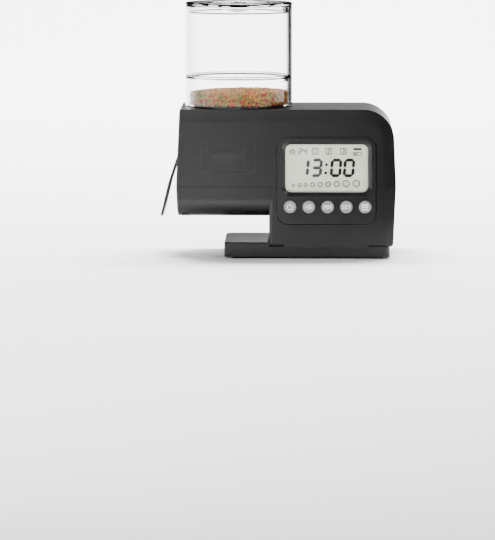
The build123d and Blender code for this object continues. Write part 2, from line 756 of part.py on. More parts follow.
axles = [(MID_Y, SEAM_Z)]
for angle in STAGE_ANGLES:
    y, z = axles[-1]
    turn = math.radians(angle)
    axles.append((y + CENTRES * math.cos(turn), z + CENTRES * math.sin(turn)))
second_axle, first_axle, motor_axle = axles[1:]
wheel_phases = STAGE_ANGLES
pinion_phases = [angle + 180 * (1 + 1 / PINION_TEETH) for angle in STAGE_ANGLES]


def involute(angle):
    """The involute function of a pressure angle in radians."""
    return math.tan(angle) - angle


def gear_outline(teeth, phase):
    """Corners of a stub involute gear whose first tooth points at phase degrees."""
    pitch_r = MODULE * teeth / 2
    base_r = pitch_r * math.cos(PRESSURE)
    root_r = pitch_r - 1.1 * MODULE
    tip_r = pitch_r + 0.8 * MODULE
    flank = []
    for radius in (max(base_r, root_r), pitch_r, tip_r):
        spread = involute(PRESSURE) - involute(math.acos(min(1.0, base_r / radius)))
        flank.append((radius, math.pi / (2 * teeth) - BACKLASH / (4 * pitch_r) + spread))
    flank.insert(0, (root_r, flank[0][1] + 0.1 * MODULE / root_r))
    corners = []
    for tooth in range(teeth):
        centre = math.radians(phase) + tooth * 2 * math.pi / teeth
        corners += [(r, centre - half) for r, half in flank]
        corners += [(r, centre + half) for r, half in reversed(flank)]
    return [(r * math.cos(a), r * math.sin(a)) for r, a in corners]


def gear(teeth, phase, x, width, axle, bore):
    """A spur gear on an axle, its left face at x."""
    with BuildPart() as wheel:
        with BuildSketch(at_x(x)):
            with Locations(axle):
                with BuildSketch(mode=Mode.PRIVATE) as toothed:
                    with BuildLine():
                        Polyline(*gear_outline(teeth, phase), close=True)
                    make_face()
                add(toothed.sketch)
                Circle(bore, mode=Mode.SUBTRACT)
        extrude(amount=width)
    return wheel.part


with BuildPart() as auger_gear:
    add(gear(WHEEL_TEETH, wheel_phases[0], LAYER_X[0], GEAR_W, axles[0], 2.0))
save(auger_gear.part, "auger_gear")

with BuildPart() as compound_gear_2:
    add(gear(PINION_TEETH, pinion_phases[0], LAYER_X[0], GEAR_W + 1, second_axle, AXLE_R + 0.06))
    add(gear(WHEEL_TEETH, wheel_phases[1], LAYER_X[1], GEAR_W, second_axle, AXLE_R + 0.06))
save(compound_gear_2.part, "compound_gear_2")

with BuildPart() as compound_gear_1:
    add(gear(PINION_TEETH, pinion_phases[1], LAYER_X[1], GEAR_W + 1, first_axle, AXLE_R + 0.06))
    add(gear(WHEEL_TEETH, wheel_phases[2], LAYER_X[2], GEAR_W, first_axle, AXLE_R + 0.06))
save(compound_gear_1.part, "compound_gear_1")

with BuildPart() as motor_pinion:
    add(gear(PINION_TEETH, pinion_phases[2], LAYER_X[2], GEAR_W + 1, motor_axle, AXLE_R))
save(motor_pinion.part, "motor_pinion")

SPACERS = ((-10.5, 33.0), (11.5, 30.5), (-10.5, 56.0))
with BuildPart() as gearbox_frame:
    with BuildSketch(at_x(FRAME_X)):
        with Locations((0.2, (FOOT_Z + WALL + 67.0) / 2)):
            RectangleRounded(27.4, 67.0 - FOOT_Z - WALL, 1.5)
    extrude(amount=FRAME_T)
    # The boss that closes the conveyor's tube.
    with BuildSketch(at_x(TUBE_RIGHT_X)):
        with Locations(axles[0]):
            Circle(12.0)
    extrude(amount=FRAME_X - TUBE_RIGHT_X)
    with BuildSketch(at_x(TUBE_RIGHT_X - 2.0)):
        with Locations(axles[0]):
            Circle(TUBE_R)
    extrude(amount=2.0)
    with BuildSketch(at_x(FRAME_X + FRAME_T)):
        with Locations(*SPACERS):
            Circle(2.5)
    extrude(amount=PLATE_X - FRAME_X - FRAME_T)
    with BuildSketch(at_x(TUBE_RIGHT_X - 2.0)):
        with Locations(axles[0]):
            Circle(4.5)
    extrude(amount=8.0, mode=Mode.SUBTRACT)
    with BuildSketch(at_x(FRAME_X)):
        with Locations(second_axle, first_axle):
            Circle(AXLE_R)
    extrude(amount=FRAME_T, mode=Mode.SUBTRACT)
    with BuildSketch(at_x(PLATE_X)):
        with Locations(*SPACERS):
            Circle(1.1)
    extrude(amount=-8, mode=Mode.SUBTRACT)
save(gearbox_frame.part, "gearbox_frame")

with BuildPart() as auger_bush:
    with BuildSketch(at_x(TUBE_RIGHT_X - 2.0)):
        with Locations(axles[0]):
            Circle(4.5)
            Circle(SHAFT_R + 0.05, mode=Mode.SUBTRACT)
    extrude(amount=FRAME_X + FRAME_T - TUBE_RIGHT_X + 2.0)
save(auger_bush.part, "auger_bush")

with BuildPart() as gearbox_plate:
    with BuildSketch(at_x(PLATE_X)):
        with Locations((0.2, 53.5)):
            RectangleRounded(27.4, 51.0, 2.5)
        with Locations(second_axle, first_axle):
            Circle(AXLE_R, mode=Mode.SUBTRACT)
        with Locations(axles[0]):
            Circle(2.06, mode=Mode.SUBTRACT)
        with Locations(motor_axle):
            Circle(3.05, mode=Mode.SUBTRACT)
        with Locations(*SPACERS):
            Circle(1.2, mode=Mode.SUBTRACT)
    extrude(amount=2.0)
save(gearbox_plate.part, "gearbox_plate")

with BuildPart() as gearbox_screws:
    with BuildSketch(at_x(PLATE_X + 2.0)):
        with Locations(*SPACERS):
            Circle(2.1)
    extrude(amount=1.5)
    with BuildSketch(at_x(PLATE_X + 2.0)):
        with Locations(*SPACERS):
            Circle(1.05)
    extrude(amount=-8.5)
save(gearbox_screws.part, "gearbox_screws")

with BuildPart() as gear_axles:
    with BuildSketch(at_x(FRAME_X)):
        with Locations(second_axle, first_axle):
            Circle(AXLE_R)
    extrude(amount=PLATE_X + 2.0 - FRAME_X)
save(gear_axles.part, "gear_axles")

# ---------------------------------------------------------------- motor
MOTOR_X0, MOTOR_X1 = PLATE_X + 2.0, 26.0
with BuildPart() as motor_can:
    with BuildSketch(at_x(MOTOR_X0)):
        with Locations(motor_axle):
            Circle(7.75)
            Rectangle(16, 12.2, mode=Mode.INTERSECT)
    extrude(amount=MOTOR_X1 - MOTOR_X0)
    with BuildSketch(at_x(MOTOR_X0 + 1.2)):
        with Locations(motor_axle):
            Circle(5.6)
    extrude(amount=MOTOR_X1 - MOTOR_X0, mode=Mode.SUBTRACT)
    with BuildSketch(at_x(MOTOR_X0)):
        with Locations(motor_axle):
            Circle(3.0)
    extrude(amount=-1.6)
    with BuildSketch(at_x(MOTOR_X0 - 2)):
        with Locations(motor_axle):
            Circle(AXLE_R + 0.06)
    extrude(amount=4, mode=Mode.SUBTRACT)
save(motor_can.part, "motor_can")

with BuildPart() as motor_end_cap:
    with BuildSketch(at_x(MOTOR_X1)):
        with Locations(motor_axle):
            Circle(7.4)
            Rectangle(16, 11.6, mode=Mode.INTERSECT)
    extrude(amount=1.2)
    with BuildSketch(at_x(MOTOR_X1 + 1.2)):
        with Locations(motor_axle):
            Circle(3.0)
    extrude(amount=1.6)
    with BuildSketch(at_x(MOTOR_X1)):
        with Locations(motor_axle):
            Circle(AXLE_R + 0.06)
    extrude(amount=1.8, mode=Mode.SUBTRACT)
    for side in (-4.6, 4.6):
        with Locations((MOTOR_X1 + 2.6, motor_axle[0] + side, motor_axle[1])):
            Box(2.9, 0.5, 2.0)
save(motor_end_cap.part, "motor_end_cap")

with BuildPart() as motor_shaft:
    with BuildSketch(at_x(LAYER_X[2] - 0.6)):
        with Locations(motor_axle):
            Circle(AXLE_R)
    extrude(amount=MOTOR_X1 + 1.6 - LAYER_X[2] + 0.6)
    with BuildSketch(at_x(MOTOR_X0 + 4)):
        with Locations(motor_axle):
            Circle(5.0)
    extrude(amount=12)
save(motor_shaft.part, "motor_shaft")

# ---------------------------------------------------------------- batteries
tray_mid = ((TRAY_X0 + TRAY_X1) / 2, (TRAY_Y0 + TRAY_Y1) / 2, (FOOT_Z + WALL + 40.4) / 2)
with BuildPart() as battery_tray:
    with Locations(tray_mid):
        Box(TRAY_X1 - TRAY_X0, TRAY_Y1 - TRAY_Y0, 40.4 - FOOT_Z - WALL)
    with Locations((tray_mid[0], tray_mid[1] + 1.0, tray_mid[2])):
        Box(TRAY_X1 - TRAY_X0 - 2, TRAY_Y1 - TRAY_Y0, 38.4 - FOOT_Z - WALL, mode=Mode.SUBTRACT)
save(battery_tray.part, "battery_tray")

with BuildPart() as batteries:
    for z, x, nipple in ((CELL_Z[0], CELL_LEFT_X[0], -1), (CELL_Z[1], CELL_LEFT_X[1], 1)):
        can_x = x + (1.0 if nipple < 0 else 0.0)
        with BuildSketch(at_x(can_x)):
            with Locations((CELL_Y, z)):
                Circle(CELL_R)
        extrude(amount=CELL_L - 1.0)
        with BuildSketch(at_x(x if nipple < 0 else x + CELL_L - 1.0)):
            with Locations((CELL_Y, z)):
                Circle(2.7)
        extrude(amount=1.0)
save(batteries.part, "batteries")

plate_left_x = TRAY_X0 + 1.0
plate_right_x = TRAY_X1 - 1.0
with BuildPart() as battery_contacts:
    for x, width, z in (
        (plate_left_x, 0.4, CELL_Z[1]),
        (plate_left_x, 1.2, CELL_Z[0]),
        (plate_right_x - 1.4, 1.4, CELL_Z[1]),
        (plate_right_x - 0.4, 0.4, CELL_Z[0]),
    ):
        with BuildSketch(at_x(x)):
            with Locations((CELL_Y, z)):
                RectangleRounded(9.0, 9.0, 1.0)
        extrude(amount=width)
save(battery_contacts.part, "battery_contacts")


def coil(x, length, z):
    """One compression spring between a contact plate and a cell's flat end."""
    with BuildPart() as spring:
        with BuildLine():
            Helix(pitch=length / 3, height=length, radius=2.6, center=(x, CELL_Y, z), direction=(1, 0, 0))
        wire_path = spring.pending_edges[0]
        with BuildSketch(Plane(origin=wire_path.position_at(0), z_dir=wire_path.tangent_at(0))):
            Circle(0.3)
        sweep(is_frenet=True)
    return spring.part


upper_gap = CELL_LEFT_X[1] - plate_left_x - 0.4
lower_gap = plate_right_x - 0.4 - CELL_LEFT_X[0] - CELL_L
with BuildPart() as battery_springs:
    add(coil(plate_left_x + 0.75, upper_gap - 0.7, CELL_Z[1]))
    add(coil(CELL_LEFT_X[0] + CELL_L + 0.35, lower_gap - 0.7, CELL_Z[0]))
save(battery_springs.part, "battery_springs")

with BuildPart() as battery_door:
    with BuildSketch(at_x(DOOR_X0 + 0.2)):
        with Locations((DOOR_PIVOT_Y, DOOR_PIVOT_Z)):
            Circle(DOOR_T / 2)
        with Locations((DOOR_PIVOT_Y, (DOOR_PIVOT_Z + 40.2) / 2)):
            Rectangle(DOOR_T, 40.2 - DOOR_PIVOT_Z)
    extrude(amount=DOOR_X1 - DOOR_X0 - 0.4)
    with BuildSketch(at_x(DOOR_X0 - 0.7)):
        with Locations((DOOR_PIVOT_Y, DOOR_PIVOT_Z)):
            Circle(0.6)
    extrude(amount=DOOR_X1 - DOOR_X0 + 1.4)
    # A shallow finger scoop near the upper edge.
    with BuildSketch(at_y(BACK_Y)):
        with Locations(((DOOR_X0 + DOOR_X1) / 2, 34.4)):
            RectangleRounded(15.0, 6.0, 2.8)
    extrude(amount=1.0, mode=Mode.SUBTRACT)
save(battery_door.part, "battery_door")

# ---------------------------------------------------------------- screws and board parts
with BuildPart() as casing_screws:
    for x, y in SCREW_SPOTS:
        with BuildSketch(Plane.XY.offset(SEAM_Z - 6)):
            with Locations((x, y)):
                Circle(2.4)
                Rectangle(3.4, 0.7, mode=Mode.SUBTRACT)
                Rectangle(0.7, 3.4, mode=Mode.SUBTRACT)
        extrude(amount=-1.6)
        with BuildSketch(Plane.XY.offset(SEAM_Z - 6.9)):
            with Locations((x, y)):
                Circle(1.1)
        extrude(amount=16.5)
save(casing_screws.part, "casing_screws")

board_back = BOARD_Y + 1.6
with BuildPart() as board_components:
    with Locations((PANEL_X + 6, board_back + 0.8, 36.0), (PANEL_X - 16, board_back + 0.8, 60.0)):
        Box(9.0, 1.6, 9.0)
    with Locations((PANEL_X + 20, board_back + 1.5, 58.0)):
        Box(7.4, 3.0, 5.0)
    with Locations((PANEL_X + 20, board_back + 1.3, 45.0), (PANEL_X - 16, board_back + 1.3, 46.0)):
        Box(10.5, 2.6, 3.6)
    with BuildSketch(at_y(board_back + 3.4)):
        with Locations((PANEL_X + 2, 60.0), (PANEL_X + 9, 60.0)):
            Circle(2.5)
    extrude(amount=3.4)
save(board_components.part, "board_components")
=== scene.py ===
"""The look of an automatic fish feeder, built round its CAD frame: finishes for every
node, and the pieces the CAD leaves out, such as the pellets, the display and the marks
on the buttons. Metres, front towards -Y, +Z up."""

import json
import logging
import math
from dataclasses import dataclass
from enum import Enum
from typing import Any, Iterable, Optional, Sequence

import bpy
import numpy as np
from mathutils import Euler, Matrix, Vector
from numpy.typing import NDArray

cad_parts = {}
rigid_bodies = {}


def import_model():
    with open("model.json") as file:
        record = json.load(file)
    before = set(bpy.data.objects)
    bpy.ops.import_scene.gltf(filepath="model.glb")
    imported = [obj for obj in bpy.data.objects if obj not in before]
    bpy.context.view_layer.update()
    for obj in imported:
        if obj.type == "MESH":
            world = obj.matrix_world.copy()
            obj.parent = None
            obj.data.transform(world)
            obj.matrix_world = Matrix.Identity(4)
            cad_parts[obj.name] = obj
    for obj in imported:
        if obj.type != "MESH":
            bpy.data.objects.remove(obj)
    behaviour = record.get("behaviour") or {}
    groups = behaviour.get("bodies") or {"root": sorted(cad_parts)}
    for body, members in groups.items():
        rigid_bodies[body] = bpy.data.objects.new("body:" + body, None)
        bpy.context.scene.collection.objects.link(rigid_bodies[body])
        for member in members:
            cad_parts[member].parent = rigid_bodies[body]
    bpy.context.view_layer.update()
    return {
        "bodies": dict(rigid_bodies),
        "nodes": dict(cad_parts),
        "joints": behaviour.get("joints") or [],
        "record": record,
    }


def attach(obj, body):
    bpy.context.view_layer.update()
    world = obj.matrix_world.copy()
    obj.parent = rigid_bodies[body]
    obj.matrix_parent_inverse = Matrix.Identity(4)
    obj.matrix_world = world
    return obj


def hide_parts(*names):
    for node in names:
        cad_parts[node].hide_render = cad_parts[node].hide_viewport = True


LOG = logging.getLogger("feeder")
MM = 0.001
SHARPEST_MITRE = 0.3
Array = NDArray[np.float64]


# ------------------------------------------------------------------ node helpers
def linear(code: str) -> tuple[float, float, float, float]:
    """Turns an sRGB hex value into a linear colour.

    Args:
        code: six hex digits after a hash, such as "#a5a5a5".

    Returns:
        Linear red, green, blue and an alpha of one.
    """
    srgb = np.array([int(code[i : i + 2], 16) for i in (1, 3, 5)]) / 255.0
    lin = np.where(srgb <= 0.04045, srgb / 12.92, ((srgb + 0.055) / 1.055) ** 2.4)
    return (*map(float, lin), 1.0)


def add_node(
    tree: bpy.types.NodeTree,
    kind: str,
    settings: Optional[dict[str, Any]] = None,
    links: Optional[dict[str, bpy.types.NodeSocket]] = None,
) -> bpy.types.Node:
    """Adds one shader node with its values and incoming links.

    Args:
        tree: the material's or world's node tree.
        kind: the node's type name without "ShaderNode".
        settings: socket name or attribute name to value.
        links: input socket name to the output socket that feeds it.

    Returns:
        The new node.
    """
    node = tree.nodes.new("ShaderNode" + kind)
    for key, value in (settings or {}).items():
        if hasattr(node, key):
            setattr(node, key, value)
        else:
            socket = node.inputs[int(key)] if key.isdigit() else node.inputs[key]
            socket.default_value = value
    for key, source in (links or {}).items():
        socket = node.inputs[int(key)] if key.isdigit() else node.inputs[key]
        tree.links.new(source, socket)
    return node


def ramp(
    tree: bpy.types.NodeTree,
    factor: bpy.types.NodeSocket,
    stops: Sequence[tuple[float, str]],
) -> bpy.types.NodeSocket:
    """Maps a factor to colours.

    Args:
        tree: the material's node tree.
        factor: the output that drives the ramp.
        stops: (position, hex colour) pairs in rising order.

    Returns:
        The ramp's colour output.
    """
    node = add_node(tree, "ValToRGB", links={"Fac": factor})
    elements = node.color_ramp.elements
    while len(elements) < len(stops):
        elements.new(0.5)
    for element, (place, code) in zip(elements, stops):
        element.position = place
        element.color = linear(code)
    return node.outputs["Color"]


def noise(
    tree: bpy.types.NodeTree, size_mm: float, detail: float = 2.0, stretch: Vector = Vector((1, 1, 1))
) -> bpy.types.NodeSocket:
    """A noise whose blotches are about size_mm across, on Object coordinates.

    Args:
        tree: the material's node tree.
        size_mm: width of one blotch.
        detail: octaves of finer detail.
        stretch: scale along each axis, for brushed or drawn grain.

    Returns:
        The noise's factor output.
    """
    place = add_node(tree, "TexCoord")
    mapped = add_node(tree, "Mapping", {"Scale": stretch}, {"Vector": place.outputs["Object"]})
    grain = add_node(
        tree,
        "TexNoise",
        {"Scale": 1.0 / (size_mm * MM), "Detail": detail, "Roughness": 0.55},
        {"Vector": mapped.outputs["Vector"]},
    )
    return grain.outputs["Fac"]


def new_material(name: str) -> tuple[bpy.types.Material, bpy.types.NodeTree, bpy.types.Node]:
    """An empty node material.

    Args:
        name: the material's name.

    Returns:
        The material, its tree and its output node.
    """
    material = bpy.data.materials.new(name)
    material.use_nodes = True
    tree = material.node_tree
    tree.nodes.clear()
    return material, tree, add_node(tree, "OutputMaterial")


# ------------------------------------------------------------------ finishes
@dataclass(frozen=True)
class Moulded:
    """Injection-moulded or painted plastic: an even colour with a fine spark-eroded
    grain, patches where the sheen varies a little, and a faint mottling."""

    name: str
    colour: str
    roughness: float = 0.42
    ior: float = 1.5
    grain_mm: float = 0.35
    grain_depth_mm: float = 0.012
    mottle: float = 0.06
    sheen_patch_mm: float = 22.0
    coat: float = 0.0

    def build(self) -> bpy.types.Material:
        """Makes the material.

        Returns:
            The new material.
        """
        material, tree, out = new_material(self.name)
        patches = noise(tree, self.sheen_patch_mm, 3.0)
        rough = add_node(
            tree,
            "MapRange",
            {"To Min": self.roughness - 0.05, "To Max": self.roughness + 0.06},
            {"Value": patches},
        )
        base = add_node(
            tree,
            "HueSaturation",
            {"Color": linear(self.colour)},
            {
                "Value": add_node(
                    tree,
                    "MapRange",
                    {"To Min": 1.0 - self.mottle, "To Max": 1.0 + self.mottle},
                    {"Value": noise(tree, 3.0, 4.0)},
                ).outputs["Result"]
            },
        )
        bump = add_node(
            tree,
            "Bump",
            {"Strength": 1.0, "Distance": self.grain_depth_mm * MM},
            {"Height": noise(tree, self.grain_mm, 1.0)},
        )
        shader = add_node(
            tree,
            "BsdfPrincipled",
            {"IOR": self.ior, "Coat Weight": self.coat, "Coat Roughness": 0.12},
            {
                "Base Color": base.outputs["Color"],
                "Roughness": rough.outputs["Result"],
                "Normal": bump.outputs["Normal"],
            },
        )
        tree.links.new(shader.outputs["BSDF"], out.inputs["Surface"])
        return material


@dataclass(frozen=True)
class Clear:
    """Polished clear plastic, moulded in a mirror-finished tool: almost no colour through one wall,
    grey-green where the eye looks along it, with faint flow waves, and painted shade as grey bands where the
    clear parts join and in the lid's dish."""

    name: str
    tint: str = "#ffffff"
    # This grey is painted shade at the joins and in the dish, and the wall's own tint along its edges.
    edge_and_shade_tint: str = "#6a716d"
    edge_from: float = 0.6
    edge_share: float = 0.9
    axis_mm: tuple[float, float] = (-38.6, 3.0)
    rim_r_mm: float = 28.5
    rims_mm: tuple[float, ...] = (100.0, 136.5)
    rim_shade_half_mm: float = 0.42
    dish_r_mm: float = 17.2
    dish_z_mm: tuple[float, float] = (135.6, 142.4)
    dish_shade_share: float = 0.3
    roughness: float = 0.015
    ior: float = 1.5
    wave_mm: float = 16.0
    wave_depth_mm: float = 0.02

    def tint_and_shade(self, tree: bpy.types.NodeTree) -> bpy.types.NodeSocket:
        """Where the plastic is greyed: painted shade on the narrow rims where the clear parts join and,
        fainter, in the lid's dish, and the wall's own grey-green where a wall is seen along its length and
        the eye looks through more of it.

        A point is on a rim when its height is within half a rim of one of the rims'
        heights and its distance from the container's axis is less than the rim's radius.
        The dish is the same test with its own radius and height, at a smaller share.

        Args:
            tree: the material's node tree.

        Returns:
            One on a rim, the dish's share in the dish, up to the edge's share along a
            wall, and nought elsewhere.
        """
        place = add_node(tree, "TexCoord").outputs["Object"]
        height = add_node(tree, "SeparateXYZ", links={"Vector": place}).outputs["Z"]
        axis = (self.axis_mm[0] * MM, self.axis_mm[1] * MM, 0.0)
        offset = add_node(tree, "VectorMath", {"operation": "SUBTRACT", "1": axis}, {"0": place})
        level_out = {"operation": "MULTIPLY", "1": (1, 1, 0)}
        flat = add_node(tree, "VectorMath", level_out, {"0": offset.outputs[0]})
        far = add_node(tree, "VectorMath", {"operation": "LENGTH"}, {"0": flat.outputs[0]}).outputs["Value"]
        dish_half = (self.dish_z_mm[1] - self.dish_z_mm[0]) / 2
        # Painted shade: a grey band at each join between the clear parts, and a fainter one in the lid's
        # dish.
        regions = [(rim, self.rim_shade_half_mm, self.rim_r_mm, 1.0) for rim in self.rims_mm]
        regions.append((self.dish_z_mm[0] + dish_half, dish_half, self.dish_r_mm, self.dish_shade_share))
        facing = add_node(tree, "LayerWeight", {"Blend": 0.5}).outputs["Facing"]
        total = add_node(
            tree, "MapRange", {"From Min": self.edge_from, "To Max": self.edge_share}, {"Value": facing}
        ).outputs["Result"]
        for middle, half, radius, share in regions:
            level = {"operation": "COMPARE", "1": middle * MM, "2": half * MM}
            band = add_node(tree, "Math", level, {"0": height}).outputs[0]
            near = add_node(tree, "Math", {"operation": "LESS_THAN", "1": radius * MM}, {"0": far}).outputs[0]
            both = add_node(tree, "Math", {"operation": "MULTIPLY"}, {"0": band, "1": near}).outputs[0]
            sum_up = {"operation": "MULTIPLY_ADD", "1": share}
            total = add_node(tree, "Math", sum_up, {"0": both, "2": total}).outputs[0]
        return total

    def build(self) -> bpy.types.Material:
        """Makes the material.

        Returns:
            The new material.
        """
        material, tree, out = new_material(self.name)
        bump = add_node(
            tree,
            "Bump",
            {"Strength": 1.0, "Distance": self.wave_depth_mm * MM},
            {"Height": noise(tree, self.wave_mm, 0.0)},
        )
        shader = add_node(
            tree,
            "BsdfPrincipled",
            {"Roughness": self.roughness, "IOR": self.ior, "Transmission Weight": 1.0},
            {
                "Base Color": ramp(tree, self.tint_and_shade(tree), [(0.0, self.tint), (1.0, self.edge_and_shade_tint)]),
                "Normal": bump.outputs["Normal"],
            },
        )
        tree.links.new(shader.outputs["BSDF"], out.inputs["Surface"])
        return material


@dataclass(frozen=True)
class Window:
    """Thin flat clear sheet over the display. It bends light too little to see, so it
    is straight-through clear, with a weak mirror skin and fine wiping haze on the side
    that light meets first."""

    name: str
    haze: float = 0.03

    def build(self) -> bpy.types.Material:
        """Makes the material.

        Returns:
            The new material.
        """
        material, tree, out = new_material(self.name)
        rough = add_node(
            tree,
            "MapRange",
            {"To Min": self.haze * 0.6, "To Max": self.haze * 1.5},
            {"Value": noise(tree, 9.0)},
        )
        white = {"Color": linear("#ffffff")}
        skin = add_node(tree, "BsdfGlossy", white, {"Roughness": rough.outputs["Result"]})
        through = add_node(tree, "BsdfTransparent", {"Color": linear("#fafbf8")})
        angle = add_node(tree, "Fresnel", {"IOR": 1.45})
        inside = add_node(tree, "NewGeometry").outputs["Backfacing"]
        outside = add_node(tree, "Math", {"operation": "SUBTRACT", "0": 1.0}, {"1": inside})
        share = add_node(
            tree, "Math", {"operation": "MULTIPLY"}, {"0": angle.outputs["Fac"], "1": outside.outputs[0]}
        )
        mix = add_node(
            tree,
            "MixShader",
            links={"0": share.outputs[0], "1": through.outputs["BSDF"], "2": skin.outputs["BSDF"]},
        )
        tree.links.new(mix.outputs["Shader"], out.inputs["Surface"])
        return material


@dataclass(frozen=True)
class Metal:
    """Bare metal: turned, drawn or rolled, with fine tool lines along one axis."""

    name: str
    colour: str
    roughness: float = 0.28
    line_mm: float = 0.25
    along: tuple[float, float, float] = (0.08, 1.0, 1.0)

    def build(self) -> bpy.types.Material:
        """Makes the material.

        Returns:
            The new material.
        """
        material, tree, out = new_material(self.name)
        lines = noise(tree, self.line_mm, 2.0, Vector(self.along))
        rough = add_node(
            tree,
            "MapRange",
            {"To Min": self.roughness - 0.08, "To Max": self.roughness + 0.1},
            {"Value": lines},
        )
        bump = add_node(tree, "Bump", {"Strength": 0.6, "Distance": 0.01 * MM}, {"Height": lines})
        shader = add_node(
            tree,
            "BsdfPrincipled",
            {"Base Color": linear(self.colour), "Metallic": 1.0},
            {"Roughness": rough.outputs["Result"], "Normal": bump.outputs["Normal"]},
        )
        tree.links.new(shader.outputs["BSDF"], out.inputs["Surface"])
        return material


@dataclass(frozen=True)
class Speckled:
    """A matt surface of two close colours in soft patches: rubber, printed ink, a
    display's reflector, solder mask or a dry food pellet."""

    name: str
    dark: str
    light: str
    patch_mm: float
    roughness: float = 0.6
    ior: float = 1.5
    bump_mm: float = 0.01
    detail: float = 3.0

    def build(self) -> bpy.types.Material:
        """Makes the material.

        Returns:
            The new material.
        """
        material, tree, out = new_material(self.name)
        patches = noise(tree, self.patch_mm, self.detail)
        colour = ramp(tree, patches, [(0.3, self.dark), (0.7, self.light)])
        bump = add_node(
            tree, "Bump", {"Strength": 1.0, "Distance": self.bump_mm * MM}, {"Height": patches}
        )
        shader = add_node(
            tree,
            "BsdfPrincipled",
            {"Roughness": self.roughness, "IOR": self.ior},
            {"Base Color": colour, "Normal": bump.outputs["Normal"]},
        )
        tree.links.new(shader.outputs["BSDF"], out.inputs["Surface"])
        return material


class Paint(Enum):
    """Every finish on the feeder, by what it is made of."""

    CASING = Moulded("ABS, black, fine spark grain", "#0f0f0f", roughness=0.34, ior=1.42)
    BASE = Moulded("ABS, black, base plate", "#121313", roughness=0.38, ior=1.42)
    PANEL = Moulded("ABS, black, semi-gloss panel", "#131414", roughness=0.32, ior=1.44, grain_depth_mm=0.006)
    FUNNEL = Moulded("polypropylene, black, funnel", "#333435", roughness=0.5)
    FRAME = Moulded("ABS, grey, gear frame", "#6e7072", roughness=0.5)
    BUTTON = Moulded("ABS, silver paint, buttons", "#858585", roughness=0.36, grain_depth_mm=0.004)
    TRAY = Moulded("ABS, black, battery tray", "#222324", roughness=0.45)
    COMPONENT = Moulded("epoxy, black, moulded chips", "#1c1c1d", roughness=0.55)
    GEAR = Moulded("acetal, natural white gears", "#e6e4dc", roughness=0.38, mottle=0.02)
    SCREW = Moulded("acetal, white conveyor screw", "#dcdcd6", roughness=0.42, mottle=0.02)
    CLEAR = Clear("polystyrene, clear, polished")
    LENS = Window("acrylic sheet, display window")
    STEEL = Metal("steel, zinc plated", "#b9bcc0")
    WIRE = Metal("spring steel, drawn", "#c4c6c8", roughness=0.22, line_mm=0.1)
    PLATE = Metal("nickel-plated spring plate", "#cfcdc4", roughness=0.2)
    BRASS = Metal("brass, turned", "#c9a45a", roughness=0.25)
    RUBBER = Speckled("rubber, black mat", "#141414", "#1f1f1f", 2.5, roughness=0.8)
    LCD = Speckled("display reflector, grey", "#d8d9cd", "#e2e3d9", 14.0, roughness=0.55, bump_mm=0.0)
    BOARD = Speckled("glass-fibre board, green mask", "#0d3a1c", "#14492a", 6.0, roughness=0.3)
    DIGIT = Speckled("display segment, black", "#050505", "#090909", 4.0, roughness=0.8, bump_mm=0.0)
    ICON = Speckled("display segment, worn grey", "#2a2b26", "#35362f", 4.0, roughness=0.5, bump_mm=0.0)
    INK = Speckled("pad-printed white ink", "#e9e9e9", "#f7f7f7", 1.0, roughness=0.5, bump_mm=0.002)
    # Dark brown crumbs, dark enough to be painted shade between the pellets as well.
    BROWN_FOOD = Speckled("dry food, crumbs and painted shade", "#2c1408", "#4a2410", 1.2, roughness=0.8, bump_mm=0.2)
    RED_FOOD = Speckled("dry food, red", "#9c2a12", "#cf4a24", 1.6, roughness=0.7, bump_mm=0.08)
    OCHRE_FOOD = Speckled("dry food, ochre", "#b07a1e", "#d9a03a", 1.6, roughness=0.7, bump_mm=0.08)
    GREEN_FOOD = Speckled("dry food, olive", "#6f6a18", "#989232", 1.6, roughness=0.7, bump_mm=0.08)
    CELL = Moulded("cell sleeve, printed film", "#2b3c63", roughness=0.3, grain_depth_mm=0.0, coat=0.5)

    def material(self) -> bpy.types.Material:
        """The finish's material, made at its first use and shared after that."""
        found = bpy.data.materials.get(self.value.name)
        return found or self.value.build()


# ------------------------------------------------------------------ meshes
@dataclass
class Surface:
    """Points and faces of one piece, as whole arrays.

    Attributes:
        points: n by 3 corners in metres.
        faces: m by 4 (or m by 3) corner numbers, anticlockwise from outside.
    """

    points: Array
    faces: NDArray[np.int64]

    def to_object(
        self, name: str, paint: Paint, body: str, slot: str, smooth: bool = True
    ) -> bpy.types.Object:
        """Puts the arrays into a mesh object that rides on a CAD body.

        Args:
            name: the piece's name.
            paint: its finish.
            body: the CAD body it moves with.
            slot: the record's material slot it stands for. Not used.
            smooth: shade smooth rather than flat.

        Returns:
            The new object.
        """
        corners = self.faces.shape[1]
        mesh = bpy.data.meshes.new(name)
        mesh.vertices.add(len(self.points))
        mesh.vertices.foreach_set("co", self.points.astype(np.float32).ravel())
        mesh.loops.add(self.faces.size)
        mesh.loops.foreach_set("vertex_index", self.faces.astype(np.int32).ravel())
        mesh.polygons.add(len(self.faces))
        mesh.polygons.foreach_set("loop_start", np.arange(len(self.faces), dtype=np.int32) * corners)
        mesh.update(calc_edges=True)
        mesh.validate()
        mesh.polygons.foreach_set("use_smooth", np.full(len(mesh.polygons), smooth))
        mesh.materials.append(paint.material())
        piece = bpy.data.objects.new(name, mesh)
        bpy.context.collection.objects.link(piece)
        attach(piece, body)
        LOG.info("%s: %d faces", name, len(mesh.polygons))
        return piece


def triangles(faces: NDArray[np.int64]) -> NDArray[np.int64]:
    """Splits quads into triangles, and leaves triangles alone."""
    return faces if faces.shape[1] == 3 else np.concatenate([faces[:, [0, 1, 2]], faces[:, [0, 2, 3]]])


def joined(parts: Iterable[Surface]) -> Surface:
    """Stacks several surfaces into one, keeping their faces apart.

    Args:
        parts: the surfaces, with quads or triangles.

    Returns:
        One surface of triangles.
    """
    points, faces, start = [], [], 0
    for part in parts:
        points.append(part.points)
        faces.append(triangles(part.faces) + start)
        start += len(part.points)
    return Surface(np.concatenate(points), np.concatenate(faces))


